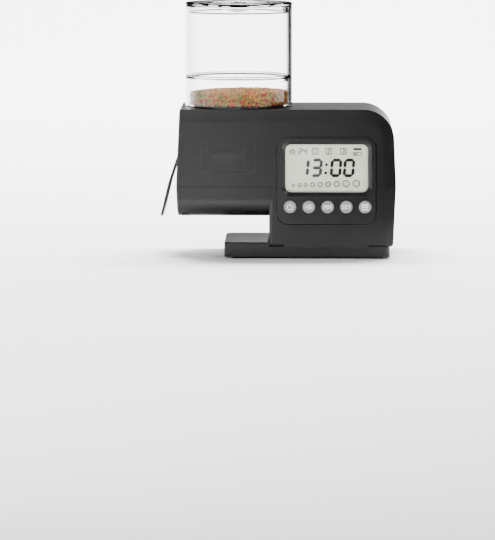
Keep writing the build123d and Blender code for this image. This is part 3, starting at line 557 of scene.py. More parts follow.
def grid_faces(rows: int, columns: int, wrap: bool) -> NDArray[np.int64]:
    """Quads between neighbouring rows and columns of a point grid.

    Args:
        rows: points along the first parameter.
        columns: points along the second parameter.
        wrap: whether the last column meets the first.

    Returns:
        Corner numbers of each quad.
    """
    last = columns if wrap else columns - 1
    i, j = np.meshgrid(np.arange(rows - 1), np.arange(last), indexing="ij")
    k = (j + 1) % columns
    quads = np.stack([i * columns + j, i * columns + k, (i + 1) * columns + k, (i + 1) * columns + j], -1)
    return quads.reshape(-1, 4)


def closed_loops(rows: Sequence[Array]) -> Surface:
    """A ring-shaped solid from its edge loops.

    Each loop is joined to the next by quads, and the last to the first.

    Args:
        rows: n by 3 corners of each loop, all with the same count.

    Returns:
        The closed solid.
    """
    points = np.concatenate(rows)
    return Surface(points, grid_faces(len(rows) + 1, len(rows[0]), True) % len(points))


def prism(outline: Array, low: float, high: float) -> Surface:
    """A closed slab with a convex outline in X and Z and its thickness along Y.

    The outline is repeated at both ends, and a pole in the middle closes each end as a
    fan of triangles.

    Args:
        outline: n by 2 corners (x, z), anticlockwise seen from the front.
        low: the front face's y.
        high: the back face's y.

    Returns:
        The slab.
    """
    count = len(outline)
    middle = outline.mean(0)
    rings = [
        np.column_stack([np.full(count, middle[0]), np.full(count, y), np.full(count, middle[1])])
        for y in (low, high)
    ]
    edges = [np.column_stack([outline[:, 0], np.full(count, y), outline[:, 1]]) for y in (low, high)]
    points = np.concatenate([rings[0], edges[0], edges[1], rings[1]])
    faces = grid_faces(4, count, True)[:, ::-1]
    merged = weld_poles(points, faces, (0, count), (3 * count, 4 * count))
    return Surface(*merged)


def weld_poles(
    points: Array, quads: NDArray[np.int64], *poles: tuple[int, int]
) -> tuple[Array, NDArray[np.int64]]:
    """Turns quads into triangles and makes each run of equal points one corner.

    Args:
        points: the corners, with every pole repeated.
        quads: faces on them.
        poles: (first, last + 1) runs of corners that lie on one spot.

    Returns:
        The corners and the triangles that still have an area.
    """
    number = np.arange(len(points))
    for first, end in poles:
        number[first:end] = first
    corners = triangles(number[quads])
    a, b, c = corners.T
    corners = corners[(a != b) & (b != c) & (a != c)]
    used, compact = np.unique(corners, return_inverse=True)
    return points[used], compact.reshape(-1, 3)


def circle(x: float, z: float, radius: float, count: int = 24) -> Array:
    """Corners of a circle in X and Z, anticlockwise seen from the front."""
    turn = np.arange(count) * 2 * np.pi / count
    return np.column_stack([x + radius * np.cos(turn), z + radius * np.sin(turn)])


def bar(start: Sequence[float], end: Sequence[float], width: float, pointed: bool = False) -> Array:
    """Corners of a straight stroke in X and Z.

    Args:
        start: (x, z) of one end.
        end: (x, z) of the other end.
        width: the stroke's width.
        pointed: ends that taper at 45 degrees, as a display's segments do.

    Returns:
        Four or six corners, anticlockwise seen from the front.
    """
    a, b = np.asarray(start, float), np.asarray(end, float)
    along = (b - a) / np.linalg.norm(b - a)
    side = np.array([-along[1], along[0]]) * width / 2
    if not pointed:
        return np.array([a - side, b - side, b + side, a + side])
    tip = along * width / 2
    return np.array([a, a + tip - side, b - tip - side, b, b - tip + side, a + tip + side])


def stroke_ring(outline: Array, width: float, low: float, high: float) -> Surface:
    """A closed line of a given width round an outline, as a raised frame.

    Each corner is moved towards the middle along its own mitre for the inner edge.

    Args:
        outline: n by 2 corners (x, z), anticlockwise seen from the front.
        width: the line's width.
        low: the front face's y.
        high: the back face's y.

    Returns:
        The frame with front, inner, back and outer faces.
    """
    before = outline - np.roll(outline, 1, 0)
    after = np.roll(outline, -1, 0) - outline
    before /= np.linalg.norm(before, axis=1, keepdims=True)
    after /= np.linalg.norm(after, axis=1, keepdims=True)
    inwards = np.column_stack([-after[:, 1], after[:, 0]])
    normal = np.column_stack([-before[:, 1], before[:, 0]]) + inwards
    normal /= np.maximum(np.sum(normal * inwards, 1), SHARPEST_MITRE)[:, None]
    inner = outline + normal * width
    loops = [(outline, high), (outline, low), (inner, low), (inner, high)]
    return closed_loops([np.column_stack([o[:, 0], np.full(len(o), y), o[:, 1]]) for o, y in loops])


def rounded(x: float, z: float, width: float, height: float, radius: float, steps: int = 6) -> Array:
    """Corners of a rounded rectangle in X and Z, anticlockwise seen from the front.

    A quarter circle is turned by a right angle for each corner in turn.

    Args:
        x: the middle's x.
        z: the middle's z.
        width: size along X.
        height: size along Z.
        radius: corner radius.
        steps: points on each corner.

    Returns:
        The corners, steps for each of the four.
    """
    turn = np.linspace(0, np.pi / 2, steps)
    arc = radius * np.column_stack([np.cos(turn), np.sin(turn)])
    corners = []
    for k, (sx, sz) in enumerate(((1, 1), (-1, 1), (-1, -1), (1, -1))):
        c, s = math.cos(k * math.pi / 2), math.sin(k * math.pi / 2)
        turned = arc @ np.array([[c, s], [-s, c]])
        corners.append(turned + [x + sx * (width / 2 - radius), z + sz * (height / 2 - radius)])
    return np.concatenate(corners)


# ------------------------------------------------------------------ food
HEX_ROW = 0.866  # height of a row in a hexagonal lattice, half the root of three


@dataclass
class PelletHeap:
    """Loose dry pellets in the container's lower ring: a rough top with a low crown, and the pellets that lie
    against the clear wall, in three colours over dark crumbs whose darkness is also painted shade for the
    food deeper in the heap.

    Attributes:
        centre: the container's axis.
        radius: the clear wall's inside.
        spigot: radius of the food in the narrow foot.
        foot_z: the foot's end.
        floor_z: the ring's floor.
        rim_z: top of the heap at the wall.
        crown: how much higher the middle is.
        lift: how much higher the right side is than the middle.
        long_wave: half height of the 9 mm wave.
        short_wave: half height of the 5 mm wave.
        pellet: half the size of the largest pellet.
        pitch: distance between neighbours.
        layer_depths: how far each top layer lies down, in half pellets.
        shift: largest random shift on the top, as a share of the pitch.
        ring_shift: largest random shift along the wall, as a share of a step.
        core_under: how far the dark core lies under the top, in half pellets.
        rings: rings of pellets up the wall.
        seed: start of the random draws.
        colours: each piece's name, finish and share of the pellets.
    """

    centre: tuple[float, float] = (-38.6 * MM, 3.0 * MM)
    radius: float = 27.9 * MM
    spigot: float = 25.1 * MM
    foot_z: float = 79.4 * MM
    floor_z: float = 84.6 * MM
    rim_z: float = 91.5 * MM
    crown: float = 0.9 * MM
    lift: float = 0.35 * MM
    long_wave: float = 0.28 * MM
    short_wave: float = 0.18 * MM
    pellet: float = 1.0 * MM
    pitch: float = 1.5 * MM
    layer_depths: tuple[float, float] = (0.35, 1.35)
    shift: float = 0.33
    ring_shift: float = 0.25
    core_under: float = 1.5
    rings: int = 6
    seed: int = 7
    colours: tuple[tuple[str, Paint, float], ...] = (
        ("pellets_red", Paint.RED_FOOD, 0.28),
        ("pellets_ochre", Paint.OCHRE_FOOD, 0.40),
        ("pellets_green", Paint.GREEN_FOOD, 0.32),
    )

    def height(self, x: Array, y: Array) -> Array:
        """Height of the heap's top over a point.

        A paraboloid falls from the crown to the rim, a slight slope lifts the right side,
        and two sine waves of about 9 and 5 mm make it uneven.

        Args:
            x: offset from the container's axis.
            y: offset from the container's axis.

        Returns:
            Height in the row frame.
        """
        far = np.minimum(np.hypot(x, y) / self.radius, 1.0)
        waves = self.long_wave * np.sin(x / (1.5 * MM) + 1.0) * np.cos(y / (1.9 * MM))
        waves += self.short_wave * np.sin(x / (0.8 * MM)) * np.sin(y / (0.9 * MM) + 0.6)
        return self.rim_z + self.crown * (1 - far**2) + self.lift * x / self.radius + waves

    def pellet_form(self) -> Surface:
        """One pellet about the origin: a short rod with rounded ends.

        Rings at five heights follow a superellipse of exponent three, six corners round,
        with a pole at each end.

        Returns:
            A closed surface of 60 triangles.
        """
        level = np.sin(np.linspace(-np.pi / 2, np.pi / 2, 7))
        level[[0, -1]] = (-1, 1)
        radius = (1 - np.abs(level) ** 3) ** (1 / 3)
        turn = np.arange(6) * np.pi / 3
        x = radius[:, None] * np.cos(turn)
        y = radius[:, None] * np.sin(turn)
        z = np.repeat(level[:, None] * 1.05, 6, axis=1)
        points = np.stack([x, y, z], -1).reshape(-1, 3)
        return Surface(*weld_poles(points, grid_faces(7, 6, True), (0, 6), (36, 42)))

    def places(self, rng: np.random.Generator) -> Array:
        """Pellet centres on the top and against the wall.

        The top is a hexagonal lattice in two layers, shifted by up to a third of its
        pitch. The wall layer is rings of equal steps, each ring turned half a step.

        Args:
            rng: the source of the shifts.

        Returns:
            n by 3 centres.
        """
        steps = np.arange(-20, 21)
        i, j = np.meshgrid(steps, steps)
        layers = []
        for depth in self.layer_depths:
            x = (i + 0.5 * (j % 2) + depth) * self.pitch
            y = j * self.pitch * HEX_ROW + depth * 0.4 * self.pitch
            x = (x + rng.uniform(-self.shift, self.shift, x.shape) * self.pitch).ravel()
            y = (y + rng.uniform(-self.shift, self.shift, y.shape) * self.pitch).ravel()
            inside = np.hypot(x, y) < self.radius - 0.9 * self.pellet
            x, y = x[inside], y[inside]
            z = self.height(x, y) - depth * self.pellet + rng.uniform(-0.3, 0.3, x.shape) * MM
            layers.append(np.column_stack([x, y, z]))
        count = int(2 * np.pi * self.radius / self.pitch)
        ring, step = np.meshgrid(np.arange(self.rings), np.arange(count), indexing="ij")
        turn = (step + 0.5 * (ring % 2)) * 2 * np.pi / count
        shift = rng.uniform(-self.ring_shift, self.ring_shift, turn.shape)
        turn = (turn + shift * 2 * np.pi / count).ravel()
        far = self.radius - self.pellet * rng.uniform(0.85, 1.1, turn.shape)
        x, y = far * np.cos(turn), far * np.sin(turn)
        share = (ring.ravel() + rng.uniform(0.2, 0.8, turn.shape)) / self.rings
        z = self.floor_z + 0.4 * self.pellet + share * (self.height(x, y) - self.floor_z - self.pellet)
        layers.append(np.column_stack([x, y, z]))
        return np.concatenate(layers)

    def scattered(self, centres: Array, rng: np.random.Generator) -> Surface:
        """Copies the pellet to every centre at its own size and turn.

        Each copy is scaled, then turned by a rotation matrix made from a random unit
        quaternion, then moved; all copies are one product of arrays.

        Args:
            centres: n by 3 places.
            rng: the source of sizes and turns.

        Returns:
            All the copies.
        """
        form = self.pellet_form()
        count = len(centres)
        size = self.pellet * rng.uniform(0.72, 1.0, (count, 1, 1)) * rng.uniform(0.8, 1.0, (count, 1, 3))
        q = rng.normal(size=(count, 4))
        w, x, y, z = (q / np.linalg.norm(q, axis=1, keepdims=True)).T
        turn = np.stack(
            [
                np.stack([1 - 2 * (y * y + z * z), 2 * (x * y - z * w), 2 * (x * z + y * w)], -1),
                np.stack([2 * (x * y + z * w), 1 - 2 * (x * x + z * z), 2 * (y * z - x * w)], -1),
                np.stack([2 * (x * z - y * w), 2 * (y * z + x * w), 1 - 2 * (x * x + y * y)], -1),
            ],
            1,
        )
        points = np.einsum("nij,nkj->nki", turn, form.points[None] * size) + centres[:, None]
        faces = form.faces[None] + np.arange(count)[:, None, None] * len(form.points)
        return Surface(points.reshape(-1, 3), faces.reshape(-1, 3))

    def core(self) -> Surface:
        """Dark crumbs under the pellets, dark also as painted shade for the deeper food between them: a lathe
        form whose top follows the heap.

        Its profile in polar coordinates runs from the pole of the spigot's foot out and
        up the spigot, out along the ring's floor, up to the top edge, then in by rings to
        the top pole.

        Returns:
            The closed core.
        """
        count = 72
        wide = self.radius - 1.1 * self.pellet
        inward = wide * np.array([1.0, 1.0, 0.8, 0.6, 0.4, 0.2, 0.0])
        far = np.array([0.0, self.spigot, self.spigot, *inward])
        turn = np.arange(count) * 2 * np.pi / count
        x, y = far[:, None] * np.cos(turn), far[:, None] * np.sin(turn)
        z = self.height(x, y) - self.core_under * self.pellet
        z[:2] = self.foot_z
        z[2:4] = self.floor_z
        points = np.stack([x + self.centre[0], y + self.centre[1], z], -1).reshape(-1, 3)
        last = len(far) - 1
        points[last * count :] = points[last * count]
        faces = grid_faces(len(far), count, True)
        return Surface(*weld_poles(points, faces, (0, count), (last * count, (last + 1) * count)))

    def build(self) -> None:
        """Makes the pellets and their core in place of the plain bed."""
        rng = np.random.default_rng(self.seed)
        centres = self.places(rng) + np.array([*self.centre, 0.0])
        draw = rng.random(len(centres))
        start = 0.0
        for name, paint, share in self.colours:
            chosen = centres[(draw >= start) & (draw < start + share)]
            start += share
            self.scattered(chosen, rng).to_object(name, paint, "housing", "food")
        # The dark core is crumbs and painted shade where the deeper food would lie in shade.
        core = self.core().to_object("food_core", Paint.BROWN_FOOD, "housing", "food")
        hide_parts("food_bed")


# ------------------------------------------------------------------ display
class Segment(Enum):
    """The seven strokes of a digit: start and end, in half heights of the digit."""

    T = ((0.0, 2.0), (1.0, 2.0))
    U = ((0.0, 1.0), (0.0, 2.0))
    V = ((1.0, 1.0), (1.0, 2.0))
    M = ((0.0, 1.0), (1.0, 1.0))
    L = ((0.0, 0.0), (0.0, 1.0))
    R = ((1.0, 0.0), (1.0, 1.0))
    B = ((0.0, 0.0), (1.0, 0.0))


LIT: dict[str, str] = {"0": "TUVLRB", "1": "VR", "2": "TVMLB", "3": "TVMRB", "4": "UVMR"}


@dataclass
class Display:
    """The lit segments of the clock display, as thin films on the display's face.

    Attributes:
        face_y: the display's front face.
        film: thickness of a segment.
        lean: how far a digit leans right for each unit of height.
        clock_z: foot of the large digits.
        digit_half: half their height.
        digit_width: their width between stroke centres.
        stroke: their stroke.
        hairline: gap at each end of a stroke, as a share of it.
        clock_xs: left edge of each large digit, in mm.
        colon_x: the colon's foot.
        colon_levels: the dots' heights, in half digits.
        upper_z: middle of the row of signs above the time.
        portions_z: foot line of the rings below it.
        ring_line: line of the round signs.
        pip_share: the pips' circle, as a share of their ring.
        pip_r: a pip's radius.
        dial_x: the small clock face's middle.
        dial_drop: how far it lies under the row's middle.
        dial_r: its radius.
        hand: width of its hands.
        hours_xs: left edges of the small 2 and 4, in mm.
        hours_half: half their height.
        hours_stroke: their stroke.
        meal_xs: the meal boxes' middles, in mm.
        meal_box: a box's side.
        meal_line: a box's line.
        meal_half: half the height of the number in a box.
        meal_width: its width between stroke centres.
        meal_stroke: its stroke.
        battery_x: the battery sign's middle.
    """

    face_y: float = -24.80 * MM
    film: float = 0.04 * MM
    lean: float = 0.085
    clock_z: float = 46.5 * MM
    digit_half: float = 4.35 * MM
    digit_width: float = 4.72 * MM
    stroke: float = 1.75 * MM
    hairline: float = 0.02
    clock_xs: tuple[float, ...] = (-4.71, 2.59, 13.42, 20.66)
    colon_x: float = 10.3 * MM
    colon_levels: tuple[float, float] = (0.34, 1.40)
    upper_z: float = 60.1 * MM
    portions_z: float = 40.0 * MM
    ring_line: float = 0.5 * MM
    pip_share: float = 0.46
    pip_r: float = 0.24 * MM
    dial_x: float = -8.17 * MM
    dial_drop: float = 0.35 * MM
    dial_r: float = 1.4 * MM
    hand: float = 0.28 * MM
    hours_xs: tuple[float, float] = (-4.6, -2.0)
    hours_half: float = 1.5 * MM
    hours_stroke: float = 0.58 * MM
    meal_xs: tuple[float, float, float] = (4.47, 12.1, 20.2)
    meal_box: float = 3.6 * MM
    meal_line: float = 0.42 * MM
    meal_half: float = 1.0 * MM
    meal_width: float = 0.95 * MM
    meal_stroke: float = 0.52 * MM
    battery_x: float = 28.1 * MM

    def film_of(self, outline: Array) -> Surface:
        """A closed thin film in front of the display's face."""
        return prism(outline, self.face_y - self.film, self.face_y)

    def digit(self, sign: str, x: float, z: float, half: float, width: float, stroke: float) -> list[Surface]:
        """The films of one leaning digit.

        Each stroke runs between two corners of the figure eight, shortened so that
        neighbours leave a hairline, and z shears x by the lean.

        Args:
            sign: the digit to show.
            x: left edge at the foot.
            z: foot's height.
            half: half of the digit's height.
            width: the digit's width between stroke centres.
            stroke: stroke width.

        Returns:
            One film for each lit stroke.
        """
        films = []
        for letter in LIT[sign]:
            ends = np.array(Segment[letter].value) * [width, half]
            along = (ends[1] - ends[0]) / np.linalg.norm(ends[1] - ends[0])
            gap = along * stroke * self.hairline
            outline = bar(ends[0] + gap, ends[1] - gap, stroke, pointed=True)
            outline[:, 0] += outline[:, 1] * self.lean
            films.append(self.film_of(outline + [x, z]))
        return films

    def clock(self) -> list[Surface]:
        """The large time in the middle, four digits and a colon.

        Returns:
            Their films.
        """
        films = []
        for sign, x in zip("1300", self.clock_xs):
            films += self.digit(sign, x * MM, self.clock_z, self.digit_half, self.digit_width, self.stroke)
        for level in self.colon_levels:
            height = level * self.digit_half
            x = self.colon_x + height * self.lean
            films.append(self.film_of(circle(x, self.clock_z + height, 0.8 * MM, 12)))
        return films

    def ring(self, outline: Array, width: float) -> Surface:
        """A thin closed line round an outline on the display."""
        return stroke_ring(outline, width, self.face_y - self.film, self.face_y)

    def meal_signs(self) -> list[Surface]:
        """A clock face, the day's 24 hours and three boxed meals, left to right.

        Returns:
            Their films.
        """
        left, top = self.dial_x, self.upper_z - self.dial_drop
        films = [self.ring(circle(left, top, self.dial_r), self.ring_line)]
        films += [self.film_of(bar((left, top), (left + dx, top + dz), self.hand)) for dx, dz in HANDS]
        half = self.hours_half
        for sign, x in zip("24", self.hours_xs):
            films += self.digit(sign, x * MM, self.upper_z - half, half, half, self.hours_stroke)
        side, half = self.meal_box, self.meal_half
        for sign, x in zip("123", self.meal_xs):
            films.append(self.ring(rounded(x * MM, self.upper_z, side, side, 0.4 * MM, 4), self.meal_line))
            shift = 0.95 if sign == "1" else 0.5
            foot = self.upper_z - half
            films += self.digit(sign, (x - shift) * MM, foot, half, self.meal_width, self.meal_stroke)
        return films

    def battery_sign(self) -> list[Surface]:
        """A solid cap over an outlined cell that holds two bars.

        Returns:
            Their films.
        """
        cap, cell, charge = (4.6 * MM, 1.3 * MM), (4.8 * MM, 2.1 * MM), (0.8 * MM, 1.1 * MM)
        cap_z, cell_z = self.upper_z + 1.2 * MM, self.upper_z - 1.5 * MM
        films = [
            self.film_of(rounded(self.battery_x, cap_z, *cap, 0.3 * MM, 3)),
            self.ring(rounded(self.battery_x, cell_z, *cell, 0.3 * MM, 3), 0.34 * MM),
        ]
        for k in range(2):
            charge_x = (26.6 + 1.2 * k) * MM
            films.append(self.film_of(rounded(charge_x, cell_z, *charge, 0.1 * MM, 3)))
        return films

    def portion_rings(self) -> list[Surface]:
        """Nine rings on one foot line that grow to the right, each with one more pip.

        Returns:
            Their films.
        """
        films = []
        for k, (x, size) in enumerate(PORTIONS):
            z = self.portions_z + size * MM
            films.append(self.ring(circle(x * MM, z, size * MM, 20), self.ring_line))
            turn = np.arange(k) * 2 * np.pi / max(k, 1)
            reach = size * self.pip_share * MM if k > 1 else 0.0
            pips = np.column_stack([np.cos(turn), np.sin(turn)]) * reach
            films += [self.film_of(circle(x * MM + dx, z + dz, self.pip_r, 6)) for dx, dz in pips]
        return films

    def build(self) -> None:
        """Makes the time and the signs."""
        joined(self.clock()).to_object("display_time", Paint.DIGIT, "housing", "lcd_grey", smooth=False)
        signs = self.meal_signs() + self.battery_sign() + self.portion_rings()
        joined(signs).to_object("display_signs", Paint.ICON, "housing", "lcd_grey", smooth=False)


HANDS: tuple[tuple[float, float], ...] = ((0.0, 1.0 * MM), (0.75 * MM, 0.0))
PORTIONS: tuple[tuple[float, float], ...] = (
    (-7.64, 1.0),
    (-4.16, 1.15),
    (-0.75, 1.2),
    (3.2, 1.4),
    (7.31, 1.5),
    (11.73, 1.65),
    (16.6, 1.83),
    (21.8, 2.05),
    (27.5, 2.1),
)


# ------------------------------------------------------------------ marks and relief
GLYPHS: dict[str, tuple[tuple[tuple[float, float], ...], ...]] = {
    "H": (((0, 0), (0, 2)), ((1, 0), (1, 2)), ((0, 1), (1, 1))),
    "R": (((0, 0), (0, 2), (1, 2), (1, 1), (0, 1)), ((0.3, 1), (1, 0))),
    "M": (((0, 0), (0, 2), (0.5, 1.1), (1, 2), (1, 0)),),
    "N": (((0, 0), (0, 2), (1, 0), (1, 2)),),
    "S": (((0, 0), (1, 0), (1, 1), (0, 1), (0, 2), (1, 2)),),
    "E": (((1, 0), (0, 0), (0, 2), (1, 2)), ((0, 1), (0.8, 1))),
    "T": (((0.5, 0), (0.5, 2)), ((0, 2), (1, 2))),
}


@dataclass
class ButtonMarks:
    """White printed signs on the five buttons' faces.

    Attributes:
        face_y: the buttons' front face.
        film: thickness of the ink.
        sunk: how far the ink's back lies inside the button.
        first_x: the left button's centre.
        pitch: distance between neighbours.
        z: the buttons' centre height.
        line: width of a printed line.
        letter_gap: clear space between letters.
    """

    face_y: float = -28.2 * MM
    film: float = 0.06 * MM
    sunk: float = 0.01 * MM
    first_x: float = -9.47 * MM
    pitch: float = 10.46 * MM
    z: float = 29.2 * MM
    line: float = 0.53 * MM
    letter_gap: float = 0.42 * MM

    def film_of(self, outline: Array) -> Surface:
        """A closed thin film on the button's face."""
        return prism(outline, self.face_y - self.film, self.face_y + self.sunk)

    def word(self, text: str, x: float, width: float, height: float) -> list[Surface]:
        """Letters made of straight strokes, centred on a button.

        Args:
            text: the letters.
            x: the button's centre.
            width: one letter's width.
            height: one letter's height.

        Returns:
            One film for each stroke.
        """
        gap = self.letter_gap + self.line * 0.5
        total = len(text) * width + (len(text) - 1) * gap
        films = []
        for k, letter in enumerate(text):
            origin = np.array([x - total / 2 + k * (width + gap), self.z - height / 2])
            for line in GLYPHS[letter]:
                points = np.array(line, float) * [width, height / 2] + origin
                for a, b in zip(points[:-1], points[1:]):
                    reach = (b - a) / np.linalg.norm(b - a) * self.line * 0.4
                    films.append(self.film_of(bar(a - reach, b + reach, self.line)))
        return films

    def power(self, x: float) -> list[Surface]:
        """An open ring with a bar in its gap, from short strokes along an arc.

        Args:
            x: the button's centre.

        Returns:
            One film for each stroke.
        """
        turn = np.linspace(math.radians(130), math.radians(410), 15)
        arc = np.column_stack([np.cos(turn), np.sin(turn)]) * 1.55 * MM + [x, self.z - 0.1 * MM]
        films = [self.film_of(bar(a, b, self.line)) for a, b in zip(arc[:-1], arc[1:])]
        films.append(self.film_of(bar((x, self.z + 0.3 * MM), (x, self.z + 2.0 * MM), self.line)))
        return films

    def dots(self, x: float) -> list[Surface]:
        """Nine small squares, three by three.

        Args:
            x: the button's centre.

        Returns:
            One film for each square.
        """
        steps = (-1.35 * MM, 0.0, 1.35 * MM)
        side = 0.95 * MM
        return [
            self.film_of(rounded(x + dx, self.z + dz, side, side, 0.15 * MM, 3))
            for dx in steps
            for dz in steps
        ]

    def build(self) -> None:
        """Prints each button's sign, riding on its own button."""
        xs = [self.first_x + k * self.pitch for k in range(5)]
        signs = {
            "power": self.power(xs[0]),
            "hour": self.word("HR", xs[1], 1.5 * MM, 2.3 * MM),
            "minute": self.word("MN", xs[2], 1.5 * MM, 2.3 * MM),
            "set": self.word("SET", xs[3], 1.0 * MM, 1.9 * MM),
            "menu": self.dots(xs[4]),
        }
        for name, films in signs.items():
            body = f"button_{name}"
            joined(films).to_object(f"mark_{name}", Paint.INK, body, "button_silver", smooth=False)


@dataclass
class FrontBadge:
    """A low moulded relief on the front, left of the panel: a plain fish and three
    bubbles inside a thin raised frame.

    Attributes:
        face_y: the casing's front face.
        rise: height of the relief.
        x: the frame's middle.
        z: the frame's middle.
        fish_half_length: half the body's length.
        fish_half_height: half the body's height.
        fish_shift: how far the body's middle lies left of the frame's.
        tail_start: from the frame's middle to the tail's root.
        tail_notch: from the root to the notch of the fork.
        tail_reach: from the root to the fork's tips.
        tail_half: half the fork's height.
        frame_size: the frame's width and height.
        frame_corner: its corner radius.
        frame_line: its line.
        frame_root: how far its back lies inside the wall.
        slab_root: how far the other shapes' backs do.
        bubbles: each bubble's place from the middle and its radius, in mm.
    """

    face_y: float = -28.0 * MM
    rise: float = 0.28 * MM
    x: float = -44.0 * MM
    z: float = 57.0 * MM
    fish_half_length: float = 7.4 * MM
    fish_half_height: float = 3.4 * MM
    fish_shift: float = 2.0 * MM
    tail_start: float = 4.6 * MM
    tail_notch: float = 4.2 * MM
    tail_reach: float = 5.2 * MM
    tail_half: float = 3.6 * MM
    frame_size: tuple[float, float] = (31.0 * MM, 18.6 * MM)
    frame_corner: float = 2.4 * MM
    frame_line: float = 0.7 * MM
    frame_root: float = 0.3 * MM
    slab_root: float = 0.05 * MM
    bubbles: tuple[tuple[float, float, float], ...] = (
        (9.4, 4.2, 0.9),
        (11.4, 6.0, 0.65),
        (-11.6, 3.0, 0.7),
    )

    def slab(self, outline: Array) -> Surface:
        """A raised closed shape that starts just inside the wall."""
        return prism(outline, self.face_y - self.rise, self.face_y + self.slab_root)

    def fish(self) -> list[Surface]:
        """The fish: a lens-shaped body from two arcs and a forked tail.

        The body's height is its greatest height times one minus the square of its place
        along its length, raised to the power 0.8.

        Returns:
            The body and the tail's two lobes.
        """
        along = np.linspace(-1, 1, 19)
        half = self.fish_half_height * (1 - along**2) ** 0.8
        x = self.x - self.fish_shift - along * self.fish_half_length
        upper = np.column_stack([x, self.z + half])
        lower = np.column_stack([x[::-1], self.z - half[::-1]])[1:-1]
        body = np.concatenate([upper, lower])
        root = [self.x + self.tail_start, self.z]
        notch = [root[0] + self.tail_notch, self.z]
        tip_x = root[0] + self.tail_reach
        tails = [
            np.array([root, notch, [tip_x, self.z + self.tail_half]]),
            np.array([root, [tip_x, self.z - self.tail_half], notch]),
        ]
        return [self.slab(part) for part in (body, *tails)]

    def build(self) -> None:
        """Makes the relief."""
        frame = stroke_ring(
            rounded(self.x, self.z, *self.frame_size, self.frame_corner),
            self.frame_line,
            self.face_y - self.rise,
            self.face_y + self.frame_root,
        )
        parts = [frame, *self.fish()]
        for dx, dz, radius in self.bubbles:
            parts.append(self.slab(circle(self.x + dx * MM, self.z + dz * MM, radius * MM, 16)))
        joined(parts).to_object("front_badge", Paint.PANEL, "housing", "casing_black", smooth=False)


@dataclass
class LidGrip:
    """Cut-glass ribs round the lid's knob, in the dish of the clear lid.

    Attributes:
        centre: the container's axis.
        radius: the knob's radius.
        low: the ribs' foot.
        high: the ribs' top.
        ribs: number of ridges round the knob.
        ridge: how far a ridge stands out, in mm.
        groove: how far a groove lies in, in mm.
        hollow: how far the top falls in the middle.
        top_steps: share of the radius and drop in mm of each ring on the top.
    """

    centre: tuple[float, float] = (-38.6 * MM, 3.0 * MM)
    radius: float = 4.25 * MM
    low: float = 138.1 * MM
    high: float = 141.9 * MM
    ribs: int = 22
    ridge: float = 0.25
    groove: float = 0.1
    hollow: float = 0.5 * MM
    top_steps: tuple[tuple[float, float], ...] = ((0.72, 0.2), (0.4, 0.1))

    def build(self) -> None:
        """Makes the knob's ribbed skirt and its faceted top.

        The radius goes out at each ridge and in at each groove, and each level is turned
        half a rib from the one below, which cuts the surface into diamonds. The top falls
        by the hollow towards the middle.
        """
        count = self.ribs * 2
        turn = np.arange(count) * 2 * np.pi / count
        ridge = np.where(np.arange(count) % 2 == 0, self.ridge, -self.groove) * MM
        levels = np.linspace(self.low, self.high, 6)
        rows = [np.column_stack([0 * turn, 0 * turn, np.full(count, self.low)])]
        for k, z in enumerate(levels):
            far = self.radius + np.roll(ridge, k)
            rows.append(np.column_stack([far * np.cos(turn), far * np.sin(turn), np.full(count, z)]))
        for share, drop in self.top_steps:
            far = self.radius * share + np.roll(ridge, 1) * share
            z = np.full(count, self.high - drop * MM) + ridge
            rows.append(np.column_stack([far * np.cos(turn), far * np.sin(turn), z]))
        rows.append(np.column_stack([0 * turn, 0 * turn, np.full(count, self.high - self.hollow)]))
        points = np.concatenate(rows) + [*self.centre, 0.0]
        last = len(rows) - 1
        faces = grid_faces(len(rows), count, True)
        grip = Surface(*weld_poles(points, faces, (0, count), (last * count, (last + 1) * count)))
        grip.to_object("lid_grip", Paint.CLEAR, "lid", "clear_plastic", smooth=False)


@dataclass
class CellBands:
    """The copper-coloured band at one end of each battery, as a thin sleeve.

    Attributes:
        radius: the band's radius, just outside the cell.
        y: the cells' axis.
        cells: each cell's left end, its height and the side of its nipple, in mm.
        length: a cell's length.
        band: the band's length.
        margin: from the nipple end to the band.
        thick: the band's thickness.
        sides: flats round the band.
    """

    radius: float = 7.27 * MM
    y: float = 23.5 * MM
    cells: tuple[tuple[float, float, int], ...] = ((-14.2, 17.4, -1), (-12.4, 32.1, 1))
    length: float = 49.5 * MM
    band: float = 12.0 * MM
    margin: float = 1.0 * MM
    thick: float = 0.05 * MM
    sides: int = 48

    def sleeve(self, x0: float, x1: float, z: float) -> Surface:
        """A closed sleeve: a rectangle of radius against x, turned about the cell's axis.

        Args:
            x0: the left end.
            x1: the right end.
            z: the axis' height.

        Returns:
            The sleeve.
        """
        turn = np.arange(self.sides) * 2 * np.pi / self.sides
        inner = self.radius - self.thick
        profile = [(x0, inner), (x0, self.radius), (x1, self.radius), (x1, inner)]
        return closed_loops(
            [
                np.column_stack([np.full(self.sides, x), self.y + r * np.cos(turn), z + r * np.sin(turn)])
                for x, r in profile
            ]
        )

    def build(self) -> None:
        """Makes a band at the nipple end of both cells."""
        bands = []
        for x, z, nipple in self.cells:
            start = x * MM + (self.margin if nipple < 0 else self.length - self.band - self.margin)
            bands.append(self.sleeve(start, start + self.band, z * MM))
        joined(bands).to_object("cell_bands", Paint.BRASS, "housing", "cell_wrap")


